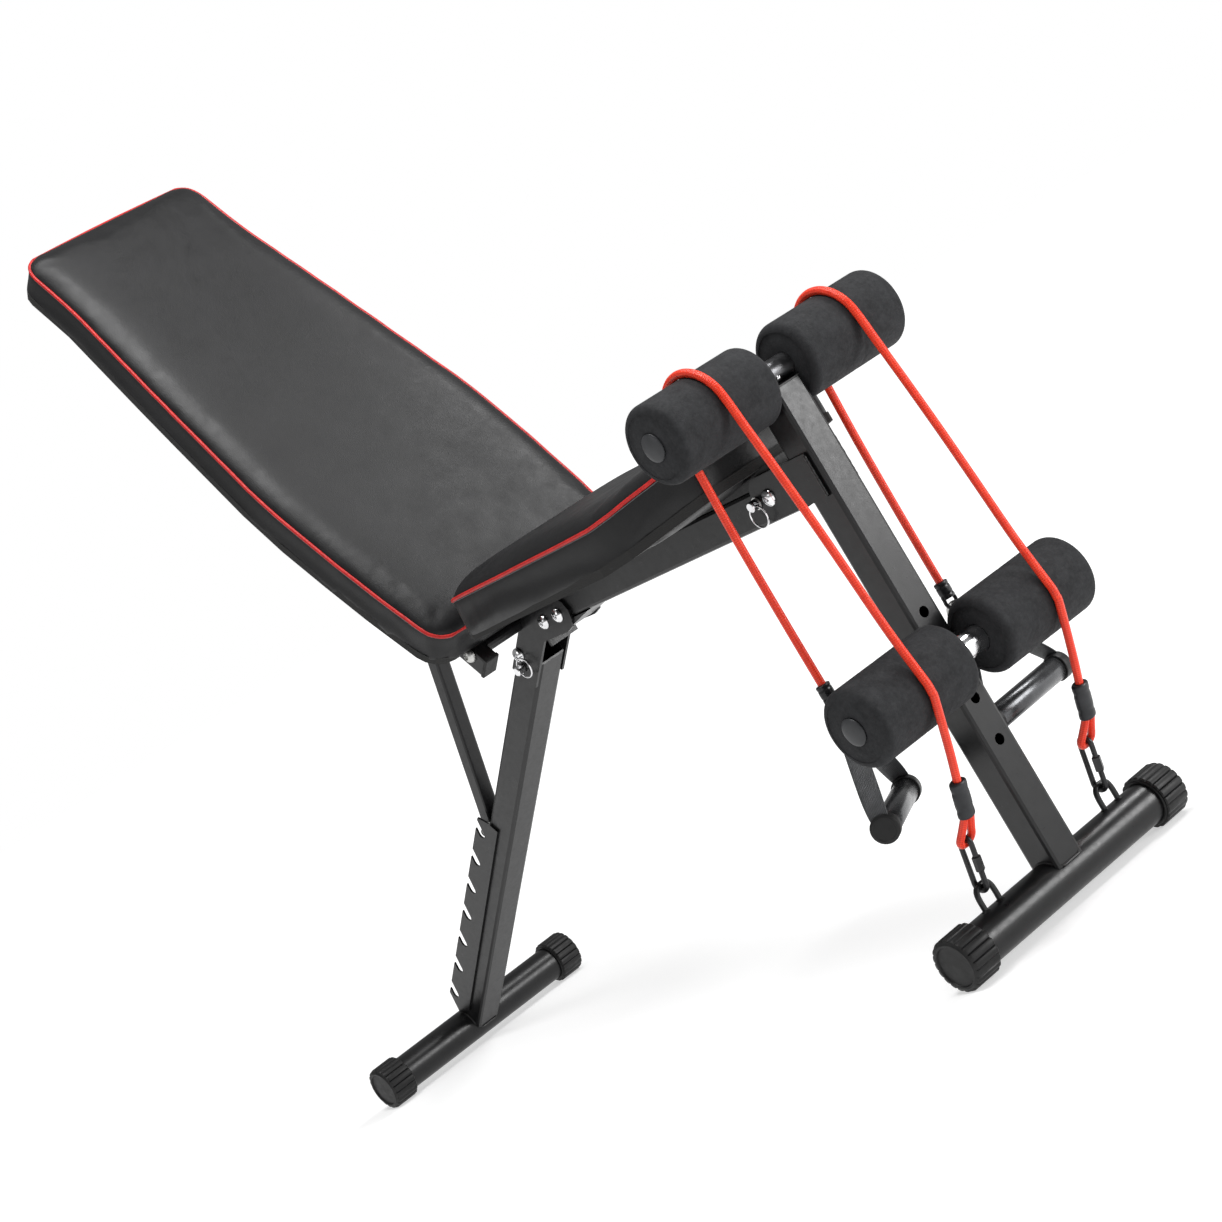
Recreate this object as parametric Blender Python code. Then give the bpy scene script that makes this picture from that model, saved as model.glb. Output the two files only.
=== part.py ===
"""Folding decline sit-up bench with rope handles.

Units are metres. +X points to the foot-roller end, +Z up, and Y = 0 is the plane of symmetry.
Every length below is measured from a datum on the floor midway between the two feet; the empty
named bench then slides the whole object along X so that its box is centred on the origin.
"""
import math

import bmesh
import bpy
from mathutils import Matrix, Vector

# ---------------------------------------------------------------- driving dimensions
GAP = 0.0003                # running or resting gap between touching pieces
TUBE = 0.038                # side of the square frame tube
WALL = 0.002                # wall of every hollow tube
TUBE_CORNER = 0.004         # outside corner radius of the frame tube
PLATE = 0.0035              # thickness of bracket cheeks
CHEEK_Y = TUBE / 2 + GAP    # inner face of every plate that hugs a frame tube

FOOT_R = 0.0225             # foot tube
FOOT_CAP_R = 0.0286         # ribbed rubber cap, axis to rib face, so also the height of the foot's axis
FOOT_CAP_OUT = 0.170        # outer face of a foot cap
FOOT_CAP_LEN = 0.036
FRONT_FOOT_X = 0.598
REAR_FOOT_X = -0.600

POST_X = 0.600              # front post
POST_TOP = 0.5735
POST_HOLES = (0.3195, 0.2720, 0.2234, 0.1770)
POST_HOLE_R = 0.006

BEAM_Z = 0.4785             # centre height of the main beam
BEAM_FRONT = 0.567
BEAM_REAR = 0.0285

UPPER_ROLLER = (POST_X, 0.5885)
LOWER_ROLLER = (0.640, 0.2720)
UPPER_SHAFT_R = 0.0125
LOWER_SHAFT_R = 0.0140
SHAFT_END = 0.1605
FOAM_R = 0.0405
FOAM_IN = 0.0235
FOAM_OUT = 0.1600

FRONT_PIVOT = (0.533, 0.485)
FRONT_PIN = (0.512, 0.485)
LEG_PIVOT = (-0.0076, 0.4468)
LEG_PIN = (-0.0147, 0.4314)
LEG_ANGLE = math.radians(34.25)     # rear leg above the floor
LEG_TOP_LOW = 0.0060                # lower and upper edge of the leg's top end, past the pivot
LEG_TOP_HIGH = 0.0265

HINGE = (0.022, 0.479)              # backrest hinge
HINGE_TUBE_R = 0.008
HINGE_SHAFT_R = 0.0055
HINGE_TUBE_HALF = 0.0745
INCLINE = math.radians(57.0)        # backrest above level at rest
STRUT_TOP = (-0.2453, -0.0093)      # strut pivot in the backrest's own lying frame, from the hinge
ROD_R = 0.005
ROD_PERP = 0.0255                   # rod centre above the leg's centre line when it sits in a slot
RACK_FIRST = 0.0475                 # first slot, along the leg from the rear foot
RACK_PITCH = 0.056
RACK_SLOTS = 7

ROPE_D = 0.0085
ROPE_Y = 0.095
ROPE_WRAP_R = 0.0455                # rope centre line round a foam roller

DATUM_X = (LOWER_ROLLER[0] + FOAM_R + REAR_FOOT_X - FOOT_CAP_R) / 2
FOOT_Z = FOOT_CAP_R

# ---------------------------------------------------------------- materials
PAINTS = {
    "frame_black": ((0.018, 0.018, 0.019), 0.42, 0.0),
    "plastic_black": ((0.020, 0.020, 0.020), 0.55, 0.0),
    "foam_black": ((0.030, 0.030, 0.031), 0.95, 0.0),
    "leather_black": ((0.016, 0.016, 0.017), 0.45, 0.0),
    "board_black": ((0.022, 0.021, 0.020), 0.85, 0.0),
    "chrome": ((0.80, 0.80, 0.80), 0.12, 1.0),
    "zinc": ((0.62, 0.62, 0.60), 0.30, 1.0),
    "rope_red": ((0.80, 0.050, 0.020), 0.65, 0.0),
    "webbing_grey": ((0.060, 0.060, 0.062), 0.80, 0.0),
    "chain_black": ((0.020, 0.020, 0.020), 0.30, 0.6),
}


def paint(name, key):
    """A Principled material of one of the finishes above."""
    colour, roughness, metallic = PAINTS[key]
    material = bpy.data.materials.new(name + "_" + key)
    material.use_nodes = True
    shader = material.node_tree.nodes["Principled BSDF"]
    shader.inputs["Base Color"].default_value = (*colour, 1.0)
    shader.inputs["Roughness"].default_value = roughness
    shader.inputs["Metallic"].default_value = metallic
    return material


# ---------------------------------------------------------------- scene helpers
def clear_scene():
    for obj in list(bpy.data.objects):
        bpy.data.objects.remove(obj, do_unlink=True)


def link(obj, parent, at, turn=(0.0, 0.0, 0.0)):
    """Parent an object to a joint's empty and place it by a point of the datum frame."""
    bpy.context.scene.collection.objects.link(obj)
    obj.parent = parent
    obj.location = Vector(at) - Vector(parent["pivot"])
    obj.rotation_euler = turn
    return obj


def pivot_empty(name, pivot, parent=None):
    """An empty on a joint's axis that carries the pieces which turn there."""
    empty = bpy.data.objects.new(name, None)
    empty["pivot"] = [float(v) for v in pivot]
    if parent is None:
        bpy.context.scene.collection.objects.link(empty)
        empty.location = Vector(pivot)
        return empty
    return link(empty, parent, pivot)


def make(name, bm, finish, parent, at, turn=(0.0, 0.0, 0.0), sharp=40.0):
    """Turn a bmesh into a named, smooth-shaded object."""
    bmesh.ops.recalc_face_normals(bm, faces=bm.faces)
    mesh = bpy.data.meshes.new(name)
    bm.to_mesh(mesh)
    bm.free()
    mesh.shade_smooth()
    mesh.set_sharp_from_angle(angle=math.radians(sharp))
    mesh.materials.append(paint(name, finish))
    return link(bpy.data.objects.new(name, mesh), parent, at, turn)


def cutter(name, bm, parent, at, turn=(0.0, 0.0, 0.0)):
    """A hidden tool body for a Boolean."""
    obj = make(name, bm, "zinc", parent, at, turn)
    obj.hide_render = True
    obj.display_type = "WIRE"
    return obj


def boolean(obj, tool, operation="DIFFERENCE"):
    modifier = obj.modifiers.new(tool.name, "BOOLEAN")
    modifier.operation = operation
    modifier.object = tool
    modifier.solver = "EXACT"


# ---------------------------------------------------------------- shape helpers
def circle(radius, count, start=0.0):
    return [(radius * math.cos(start + 2 * math.pi * i / count),
             radius * math.sin(start + 2 * math.pi * i / count)) for i in range(count)]


def arc(centre, radius, from_deg, to_deg, steps):
    """Points of an arc, both ends included."""
    points = []
    for i in range(steps + 1):
        angle = math.radians(from_deg + (to_deg - from_deg) * i / steps)
        points.append((centre[0] + radius * math.cos(angle), centre[1] + radius * math.sin(angle)))
    return points


def rounded_rect(width, height, corner, steps=2):
    a, b = width / 2 - corner, height / 2 - corner
    points = []
    for quarter, centre in enumerate(((a, b), (-a, b), (-a, -b), (a, -b))):
        points += arc(centre, corner, 90 * quarter, 90 * quarter + 90, steps)
    return points


def prism(outline, y_from, y_to):
    """An outline of (x, z) points, extruded along Y."""
    bm = bmesh.new()
    face = bm.faces.new([bm.verts.new((x, y_from, z)) for x, z in outline])
    side = bmesh.ops.extrude_face_region(bm, geom=[face])["geom"]
    bmesh.ops.translate(bm, vec=(0.0, y_to - y_from, 0.0),
                        verts=[v for v in side if isinstance(v, bmesh.types.BMVert)])
    return bm


def loft(rings, closed=False):
    """Skin a row of rings with equal counts; the ends are capped unless the row closes on itself."""
    bm = bmesh.new()
    rows = [[bm.verts.new(point) for point in ring] for ring in rings]
    count = len(rows[0])
    pairs = list(zip(rows, rows[1:]))
    if closed:
        pairs.append((rows[-1], rows[0]))
    for one, two in pairs:
        for i in range(count):
            j = (i + 1) % count
            bm.faces.new((one[i], one[j], two[j], two[i]))
    if not closed:
        bm.faces.new(rows[0])
        bm.faces.new(rows[-1])
    return bm


def pipe(outer, inner, start, end, end_slope=0.0):
    """A hollow bar along local X; end_slope leans the far end face so that it follows local Z."""
    def ring(section, x, slope=0.0):
        return [(x + slope * z, y, z) for y, z in section]
    return loft([ring(outer, start), ring(outer, end, end_slope),
                 ring(inner, end, end_slope), ring(inner, start)], closed=True)


def box_tube(width, height, corner, start, end, end_slope=0.0):
    return pipe(rounded_rect(width, height, corner),
                rounded_rect(width - 2 * WALL, height - 2 * WALL, corner / 2), start, end, end_slope)


def frame_tube(start, end, end_slope=0.0):
    return box_tube(TUBE, TUBE, TUBE_CORNER, start, end, end_slope)


def turned(profile, segments, start=0.0):
    """Spin a closed profile of (radius, y) points about the Y axis; radius 0 points become poles."""
    bm = bmesh.new()
    verts = [bm.verts.new((radius, y, 0.0)) for radius, y in profile]
    edges = [bm.edges.new((a, b)) for a, b in zip(verts, verts[1:])]
    if profile[0][0] > 0.0:
        edges.append(bm.edges.new((verts[-1], verts[0])))
    bmesh.ops.rotate(bm, verts=verts, cent=(0, 0, 0), matrix=Matrix.Rotation(start, 3, "Y"))
    bmesh.ops.spin(bm, geom=verts + edges, cent=(0, 0, 0), axis=(0, 1, 0),
                   angle=2 * math.pi, steps=segments, use_merge=True)
    bmesh.ops.remove_doubles(bm, verts=bm.verts, dist=0.00001)
    return bm


def peg(radius, y_from, y_to, segments=16, chamfer=0.0):
    """A round bar along Y with chamfered ends."""
    if chamfer <= 0.0:
        return turned([(0, y_from), (radius, y_from), (radius, y_to), (0, y_to)], segments)
    return turned([(0, y_from), (radius - chamfer, y_from), (radius, y_from + chamfer),
                   (radius, y_to - chamfer), (radius - chamfer, y_to), (0, y_to)], segments)


def bolt(radius, head_r, head_h, half_span, segments=10):
    """A through bolt along Y: domed head on the -Y side, nut on the +Y side."""
    return turned([(0.0, -half_span - head_h), (head_r * 0.7, -half_span - head_h * 0.7),
                   (head_r, -half_span), (radius, -half_span), (radius, half_span),
                   (head_r * 0.92, half_span), (head_r * 0.92, half_span + head_h),
                   (0.0, half_span + head_h)], segments)


def smooth_route(points, reads):
    """Catmull-Rom curve through the points, read at the given number of places in each span."""
    knots = [Vector(p) for p in points]
    chain = [2 * knots[0] - knots[1]] + knots + [2 * knots[-1] - knots[-2]]
    route = []
    for p0, p1, p2, p3 in zip(chain, chain[1:], chain[2:], chain[3:]):
        for i in range(reads):
            t = i / reads
            route.append(0.5 * (2 * p1 + (p2 - p0) * t + (2 * p0 - 5 * p1 + 4 * p2 - p3) * t * t
                                + (3 * p1 - p0 - 3 * p2 + p3) * t ** 3))
    return route + [knots[-1]]


def tube_mesh(points, radius, sides=8):
    """A round bar through the points as a mesh, for use in a Boolean."""
    path = [Vector(p) for p in points]
    rings = []
    across = None
    for i, point in enumerate(path):
        tangent = (path[min(i + 1, len(path) - 1)] - path[max(i - 1, 0)]).normalized()
        if across is None:
            across = tangent.orthogonal().normalized()
        across = (across - tangent * across.dot(tangent)).normalized()
        other = tangent.cross(across)
        rings.append([point + across * a + other * b for a, b in circle(radius, sides)])
    return loft(rings)


def wire(name, points, radius, finish, parent, at, closed=False, turn=(0.0, 0.0, 0.0)):
    """Round bar or cord along the points; open ends have filled caps."""
    curve = bpy.data.curves.new(name, "CURVE")
    curve.dimensions = "3D"
    curve.bevel_depth = radius
    curve.bevel_resolution = 2
    curve.use_fill_caps = True
    curve.render_resolution_u = 0
    spline = curve.splines.new("POLY")
    spline.points.add(len(points) - 1)
    for target, point in zip(spline.points, points):
        target.co = (*point, 1.0)
    spline.use_cyclic_u = closed
    curve.materials.append(paint(name, finish))
    return link(bpy.data.objects.new(name, curve), parent, at, turn)


# ---------------------------------------------------------------- beam, seat and rear clevis
TURN_UP = (0.0, -math.pi / 2, 0.0)      # local X points up
TURN_ACROSS = (0.0, 0.0, math.pi / 2)   # local X points along +Y
TURN_FORWARD = (0.0, 0.0, -math.pi / 2)     # local Y points along +X
CLEVIS_BOLTS = {"front": (0.1040, 0.4690), "rear": (0.0727, 0.4686)}
BOLT_R = 0.004
PIVOT_R = 0.005
PIN_R = 0.004
HOLE = GAP                              # radial room of a bolt in its hole
CHEEK_OUT = CHEEK_Y + PLATE + GAP       # where bolt heads bear

SEAT_WIDTHS = ((0.108, 0.145), (0.260, 0.148), (0.420, 0.146), (0.545, 0.095))
SEAT_BASE = BEAM_Z + TUBE / 2 + GAP
SEAT_PIPING = 0.5495
SEAT_CROWN = 0.5635
SEAT_BEND_X = 0.415
SEAT_BEND = math.tan(math.radians(7.5))
BOARD = 0.010                           # plywood under each cushion


def drill(obj, name, at, radius, span, parent, turn=(0.0, 0.0, 0.0)):
    """A hole along Y, or along another direction after a turn."""
    boolean(obj, cutter(name, peg(radius, -span, span, 10), parent, at, turn))


def main_beam(bench):
    beam = make("main_beam", frame_tube(BEAM_REAR, BEAM_FRONT), "frame_black", bench, (0, 0, BEAM_Z))
    bore = HINGE_SHAFT_R + 0.0005
    sleeve = turned([(bore, -HINGE_TUBE_HALF), (HINGE_TUBE_R, -HINGE_TUBE_HALF),
                     (HINGE_TUBE_R, HINGE_TUBE_HALF), (bore, HINGE_TUBE_HALF)], 16)
    boolean(beam, cutter("hinge_sleeve_guide", sleeve, bench, (HINGE[0], 0, HINGE[1])), "UNION")
    for side, (x, z) in CLEVIS_BOLTS.items():
        drill(beam, "beam_hole_" + side, (x, 0, z), BOLT_R + HOLE, 0.03, bench)
    drill(beam, "beam_hole_pivot", (FRONT_PIVOT[0], 0, FRONT_PIVOT[1]), PIVOT_R + HOLE, 0.03, bench)


def width_at(table, x):
    for (x0, w0), (x1, w1) in zip(table, table[1:]):
        if x <= x1:
            part = (x - x0) / (x1 - x0)
            return w0 + (w1 - w0) * part
    return table[-1][1]


def plan_stations(table, corner, steps, inset=0.0):
    """Stations (x, half width, 0 at an end to 1 inside) along a cushion with rounded corners."""
    first, last = table[0][0] + inset, table[-1][0] - inset
    radius = corner - inset
    stations = []
    for i in range(4):
        angle = math.radians(90 * (1 - i / 4))
        x = first + radius * (1 - math.sin(angle))
        stations.append((x, width_at(table, x) - inset - radius * (1 - math.cos(angle)), i / 4))
    for i in range(steps + 1):
        x = first + radius + (last - first - 2 * radius) * i / steps
        stations.append((x, width_at(table, x) - inset, 1.0))
    for i in range(1, 5):
        angle = math.radians(90 * i / 4)
        x = last - radius + radius * math.sin(angle)
        stations.append((x, width_at(table, x) - inset - radius * (1 - math.cos(angle)), 1 - i / 4))
    return stations


def slab(table, corner, steps, base, top, rise=lambda x: 0.0, inset=0.0):
    """A board with the cushion's outline."""
    rings = []
    for x, w, _ in plan_stations(table, corner, steps, inset):
        z = rise(x)
        rings.append([(x, -w, base + z), (x, w, base + z), (x, w, top + z), (x, -w, top + z)])
    return loft(rings)


def cushion(table, corner, steps, base, piping, crown, rise=lambda x: 0.0):
    """A padded block: straight walls up to the piping and a crowned top."""
    rings = []
    for x, w, inside in plan_stations(table, corner, steps):
        z = rise(x)
        top = piping + (crown - piping) * inside ** 0.5
        shoulder = piping + (top - piping) * 0.65
        rings.append([(x, -w, base + z), (x, w, base + z), (x, w, piping + z),
                      (x, w * 0.82, shoulder + z), (x, w * 0.45, top + z),
                      (x, -w * 0.45, top + z), (x, -w * 0.82, shoulder + z), (x, -w, piping + z)])
    return loft(rings)


def seat_rise(x):
    return max(0.0, x - SEAT_BEND_X) * SEAT_BEND


def seat(bench):
    board_top = SEAT_BASE + BOARD
    make("seat_board", slab(SEAT_WIDTHS, 0.014, 9, SEAT_BASE, board_top, seat_rise, 0.004),
         "board_black", bench, (0, 0, 0))
    make("seat_pad", cushion(SEAT_WIDTHS, 0.014, 9, board_top + GAP, SEAT_PIPING, SEAT_CROWN, seat_rise),
         "leather_black", bench, (0, 0, 0))


def rear_clevis(bench):
    """Two cheeks down the sides of beam and leg, joined by a web under the beam with a short lip."""
    x, z = CLEVIS_BOLTS["front"]
    nose = 0.0215
    outline = arc((x, z), nose, 90, -90, 6) + [(0.0515, 0.4485), (-0.0136, 0.4048),
                                              (-0.0350, 0.4362), (0.0448, z + nose)]
    clevis = make("rear_clevis", prism(outline, CHEEK_Y, CHEEK_Y + PLATE), "frame_black", bench, (0, 0, 0))
    boolean(clevis, cutter("clevis_cheek_guide", prism(outline, -CHEEK_Y - PLATE, -CHEEK_Y),
                           bench, (0, 0, 0)), "UNION")
    under = BEAM_Z - TUBE / 2 - GAP
    web = [(0.0550, under), (0.1540, under), (0.1070, under - 0.009), (0.1010, under - 0.009),
           (0.0985, under - PLATE), (0.0585, under - PLATE), (0.0585, 0.4400), (0.0550, 0.4400)]
    boolean(clevis, cutter("clevis_web_guide", prism(web, -CHEEK_Y - 0.001, CHEEK_Y + 0.001),
                           bench, (0, 0, 0)), "UNION")
    drill(clevis, "clevis_hinge_relief", (HINGE[0], 0, HINGE[1]), HINGE_TUBE_R + 0.0006, 0.03, bench)
    drill(clevis, "clevis_pivot_hole", (LEG_PIVOT[0], 0, LEG_PIVOT[1]), PIVOT_R + HOLE, 0.03, bench)
    drill(clevis, "clevis_pin_hole", (LEG_PIN[0], 0, LEG_PIN[1]), PIN_R + HOLE, 0.03, bench)
    for side, (bx, bz) in CLEVIS_BOLTS.items():
        drill(clevis, "clevis_hole_" + side, (bx, 0, bz), BOLT_R + HOLE, 0.03, bench)
        make("clevis_bolt_" + side, bolt(BOLT_R, 0.0085, 0.005, CHEEK_OUT), "chrome", bench, (bx, 0, bz))


# ---------------------------------------------------------------- feet
RIBS = 16


def ribbed_ring(radius_to_face, groove, y):
    """Ring of flat-faced ribs with grooves between, one rib face straight down."""
    half = math.radians(360 / RIBS * 0.32)
    points = []
    for i in range(RIBS):
        middle = 2 * math.pi * i / RIBS
        reach = radius_to_face / math.cos(half)
        for angle, radius in ((middle - half, reach), (middle + half, reach),
                              (middle + math.pi / RIBS, groove)):
            points.append((radius * math.cos(angle), y, radius * math.sin(angle)))
    return points


def plain_ring(radius, y):
    """A circle with the same point directions as a ribbed ring."""
    return [tuple(Vector((x, 0, z)).normalized() * radius + Vector((0, y, 0)))
            for x, _, z in ribbed_ring(1.0, 1.0, 0.0)]


def foot_cap(side):
    """Ribbed cup pushed over the end of a foot tube; side is +1 or -1."""
    mouth = FOOT_CAP_OUT - FOOT_CAP_LEN
    groove = FOOT_CAP_R - 0.0020
    rings = [plain_ring(FOOT_R + 0.0004, side * (FOOT_CAP_OUT - 0.0045)),
             plain_ring(FOOT_R + 0.0004, side * mouth),
             ribbed_ring(FOOT_CAP_R, groove, side * mouth),
             ribbed_ring(FOOT_CAP_R, groove, side * (FOOT_CAP_OUT - 0.003)),
             plain_ring(0.0245, side * FOOT_CAP_OUT)]
    return loft(rings)


def foot(name, x, parent):
    inner = circle(FOOT_R - WALL, 20)
    half = FOOT_CAP_OUT - 0.005
    make(name, pipe(circle(FOOT_R, 20), inner, -half, half), "frame_black",
         parent, (x, 0, FOOT_Z), TURN_ACROSS)
    for word, side in (("left", 1), ("right", -1)):
        make(f"{name}_cap_{word}", foot_cap(side), "plastic_black", parent, (x, 0, FOOT_Z), sharp=30)


# ---------------------------------------------------------------- front post, brackets and rollers
def front_post(post):
    tube = make("front_post", frame_tube(0.0405, POST_TOP), "frame_black", post, (POST_X, 0, 0), TURN_UP)
    foot_tool = cutter("post_saddle", peg(FOOT_R + GAP, -0.03, 0.03, 24), post, (FRONT_FOOT_X, 0, FOOT_Z))
    boolean(tube, foot_tool)
    for z in POST_HOLES:
        drill(tube, f"post_hole_{round(z * 1000)}", (POST_X + TUBE / 2, 0, z), POST_HOLE_R, 0.006,
              post, TURN_FORWARD)
    boss = TUBE - 2 * WALL - 2 * GAP
    rings = [[(x, a, b) for a, b in rounded_rect(side, side, corner)]
             for x, side, corner in ((POST_TOP - 0.018, boss, 0.0015), (POST_TOP + GAP, boss, 0.0015),
                                     (POST_TOP + GAP, TUBE + 0.001, 0.0045),
                                     (POST_TOP + 0.0018, TUBE + 0.001, 0.0045))]
    make("post_top_plug", loft(rings), "plastic_black", post, (POST_X, 0, 0), TURN_UP)


def front_bracket(post):
    """Two cheeks round the beam's end, joined by a web in front of the post."""
    half, reach, nose = 0.0235, 0.611, 0.0265
    lean = math.degrees(math.asin(half / nose))
    x, z = FRONT_PIVOT
    outline = arc(FRONT_PIVOT, nose, 180 - lean, 180 + lean, 8) + [(reach, z - half), (reach, z + half)]
    bracket = make("front_bracket", prism(outline, CHEEK_Y, CHEEK_Y + PLATE), "frame_black", post, (0, 0, 0))
    boolean(bracket, cutter("bracket_cheek_guide", prism(outline, -CHEEK_Y - PLATE, -CHEEK_Y),
                            post, (0, 0, 0)), "UNION")
    rear_face = POST_X - TUBE / 2 - GAP
    web = [(rear_face - PLATE, z - half), (rear_face, z - half), (rear_face, z + half),
           (rear_face - PLATE, z + half)]
    boolean(bracket, cutter("bracket_web_guide", prism(web, -CHEEK_Y - 0.001, CHEEK_Y + 0.001),
                            post, (0, 0, 0)), "UNION")
    drill(bracket, "bracket_pivot_hole", (x, 0, z), PIVOT_R + HOLE, 0.03, post)
    drill(bracket, "bracket_pin_hole", (FRONT_PIN[0], 0, FRONT_PIN[1]), PIN_R + HOLE, 0.03, post)
    make("front_pivot_bolt", bolt(PIVOT_R, 0.0090, 0.005, CHEEK_OUT), "chrome", post, (x, 0, z))


def roller_shaft(name, centre, radius, post):
    at = (centre[0], 0, centre[1])
    bore = radius - 0.0015
    make(name, turned([(bore, -SHAFT_END), (radius, -SHAFT_END), (radius, SHAFT_END), (bore, SHAFT_END)], 20),
         "zinc" if name.startswith("upper") else "chrome", post, at)
    for word, side in (("left", 1), ("right", -1)):
        profile = [(0, 0.150), (0.0105, 0.150), (0.0105, 0.1610), (0.0145, 0.1610),
                   (0.0145, 0.1625), (0.0125, 0.1640), (0, 0.1640)]
        level = name.split("_")[0]
        make(f"{level}_roller_cap_{word}", turned([(r, side * y) for r, y in profile], 12),
             "plastic_black", post, at)


def lower_roller_bracket(post):
    """Saddle that holds the lower shaft off the post's front face."""
    x, z = LOWER_ROLLER
    back = POST_X + TUBE / 2 + GAP - x
    outline = [(back, -0.016), (-0.0105, -0.016)]
    outline += reversed(arc((0, 0), LOWER_SHAFT_R + GAP, 130, 230, 6))
    outline += [(-0.0105, 0.016), (back, 0.016)]
    make("lower_roller_bracket", prism(outline, -0.012, 0.012), "frame_black", post, (x, 0, z))


def foam_roller(level, word, side, centre, shaft_radius, parent):
    bore = shaft_radius + 0.0004
    outer = [(bore, FOAM_IN), (0.0350, FOAM_IN), (FOAM_R, FOAM_IN + 0.0055),
             (FOAM_R, FOAM_OUT - 0.0055), (0.0350, FOAM_OUT), (bore, FOAM_OUT)]
    make(f"{level}_foam_{word}", turned([(r, side * y) for r, y in outer], 20), "foam_black",
         parent, (centre[0], 0, centre[1]))


# ---------------------------------------------------------------- ropes and their fittings
STAPLE_R = 0.003
STAPLE_BAR = (0.6000, 0.0745)           # centre of the staple's top bar
LINK_R = 0.0025
LINK_HALF = 0.0075                      # half the link's centre-line width
LINK_LONG = 0.0577                      # link's centre-line length
LINK_LEAN = math.radians(16)            # link from the vertical, towards +X
FRONT_EYE_GRIP = (0.6360, 0.1430)       # lower and upper end of the front ferrule
FRONT_EYE_TOP = (0.6500, 0.1785)
EYE_HALF = 0.0085                       # half width of the rope's front loop
FRONT_FERRULE = (0.0098, 0.0072)        # half widths across and along
REAR_FERRULE = (0.0080, 0.0068)
STAPLE_HALF = 0.011
REAR_X = 0.5475
REAR_LOOP_R = 0.002
REAR_LOOP_HALF = 0.0074
FERRULE_LONG = 0.018
SLEEVE_UP = 0.0105          # rear ferrule above the hoop's lowest bar
REAR_EYE_Z = {"right": 0.2810, "left": 0.2930}  # bottom of the rear loop's bar, per side


def rope_route(end_z):
    """Centre line (x, z) from the front ferrule up over the roller and down to the rear ferrule."""
    cx, cz = UPPER_ROLLER
    lx, lz = LOWER_ROLLER
    rise = Vector((FRONT_EYE_TOP[0] - FRONT_EYE_GRIP[0], FRONT_EYE_TOP[1] - FRONT_EYE_GRIP[1])).normalized()
    start = Vector(FRONT_EYE_TOP) + rise * GAP
    points = [tuple(start), (0.6628, 0.2070)]
    points += arc((lx, lz), ROPE_WRAP_R, -18, 12, 3)
    points += [(0.6760, 0.3330), (0.6698, 0.3940), (0.6635, 0.4550), (0.6560, 0.5150), (0.6490, 0.5650)]
    points += arc((cx, cz), ROPE_WRAP_R, 6, 180, 8)
    points += [(0.5527, 0.5450), (0.5500, 0.4950), (0.5485, 0.4450), (0.5478, 0.3950), (REAR_X, 0.3550)]
    points += [(REAR_X, end_z)]
    return points


def stadium(half, length, steps=5):
    """Closed centre line of a link standing on its lower end at the origin."""
    return arc((0, length - half), half, 0, 180, steps) + arc((0, half), half, 180, 360, steps)


def oval(long_half, short_half, count=12):
    return [(long_half * math.cos(2 * math.pi * i / count), short_half * math.sin(2 * math.pi * i / count))
            for i in range(count)]


def ferrule(start, end, wide, deep):
    """Oval sleeve between two (x, z) points, wide along Y, with eased ends."""
    a, b = Vector((start[0], 0, start[1])), Vector((end[0], 0, end[1]))
    along = (b - a).normalized()
    across = Vector((along.z, 0, -along.x))
    rings = []
    for part, size in ((0.0, 0.88), (0.06, 1.0), (0.94, 1.0), (1.0, 0.88)):
        centre = a.lerp(b, part)
        rings.append([centre + Vector((0, 1, 0)) * y * size + across * d * size for y, d in oval(wide, deep)])
    return loft(rings)


def foot_staple(word, y, post):
    """Bent bar welded on the foot tube."""
    foot_top = FOOT_Z + FOOT_R + GAP
    arch = [(-STAPLE_HALF, foot_top), (-STAPLE_HALF, 0.0630), (-0.0095, 0.0700), (-0.0058, 0.0738),
            (0.0, STAPLE_BAR[1])]
    arch += [(-dy, dz) for dy, dz in reversed(arch[:-1])]
    wire("foot_staple_" + word, [(0, dy, dz) for dy, dz in arch], STAPLE_R, "frame_black",
         post, (STAPLE_BAR[0], y, 0))


def chain_link(word, y, post):
    """Link hung round the staple's bar; returns its lowest point."""
    sunk = LINK_R + GAP + STAPLE_R
    foot_of_link = Vector((STAPLE_BAR[0] - sunk * math.sin(LINK_LEAN), 0,
                           STAPLE_BAR[1] - sunk * math.cos(LINK_LEAN)))
    wire("chain_link_" + word, [(a, 0, b) for a, b in stadium(LINK_HALF, LINK_LONG)], LINK_R, "chain_black",
         post, (foot_of_link.x, y, foot_of_link.z), True, (0.0, LINK_LEAN, 0.0))
    return foot_of_link


def front_eye(word, y, foot_of_link, post):
    """Ferrule with the rope's loop, which goes through the link's upper end."""
    reach = LINK_LONG - LINK_R - ROPE_D / 2 - 2 * GAP
    low = foot_of_link + Vector((math.sin(LINK_LEAN), 0, math.cos(LINK_LEAN))) * reach
    grip = Vector((FRONT_EYE_GRIP[0], 0, FRONT_EYE_GRIP[1]))
    rise = (grip - low).normalized()
    loop_height = (grip - low).length
    loop = [(0.0046, loop_height + 0.004), (0.0050, loop_height - 0.004), (0.0072, EYE_HALF + 0.008)]
    loop += arc((0, EYE_HALF), EYE_HALF, 0, -180, 6)
    loop += [(-a, b) for a, b in reversed(loop[:3])]
    eye = make("front_rope_eye_" + word, ferrule(FRONT_EYE_GRIP, FRONT_EYE_TOP, *FRONT_FERRULE),
               "rope_red", post, (0, y, 0))
    loop_body = tube_mesh(smooth_route([low + Vector((0, a, 0)) + rise * b for a, b in loop], 1), ROPE_D / 2)
    boolean(eye, cutter("front_loop_guide_" + word, loop_body, post, (0, y, 0)), "UNION")


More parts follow.
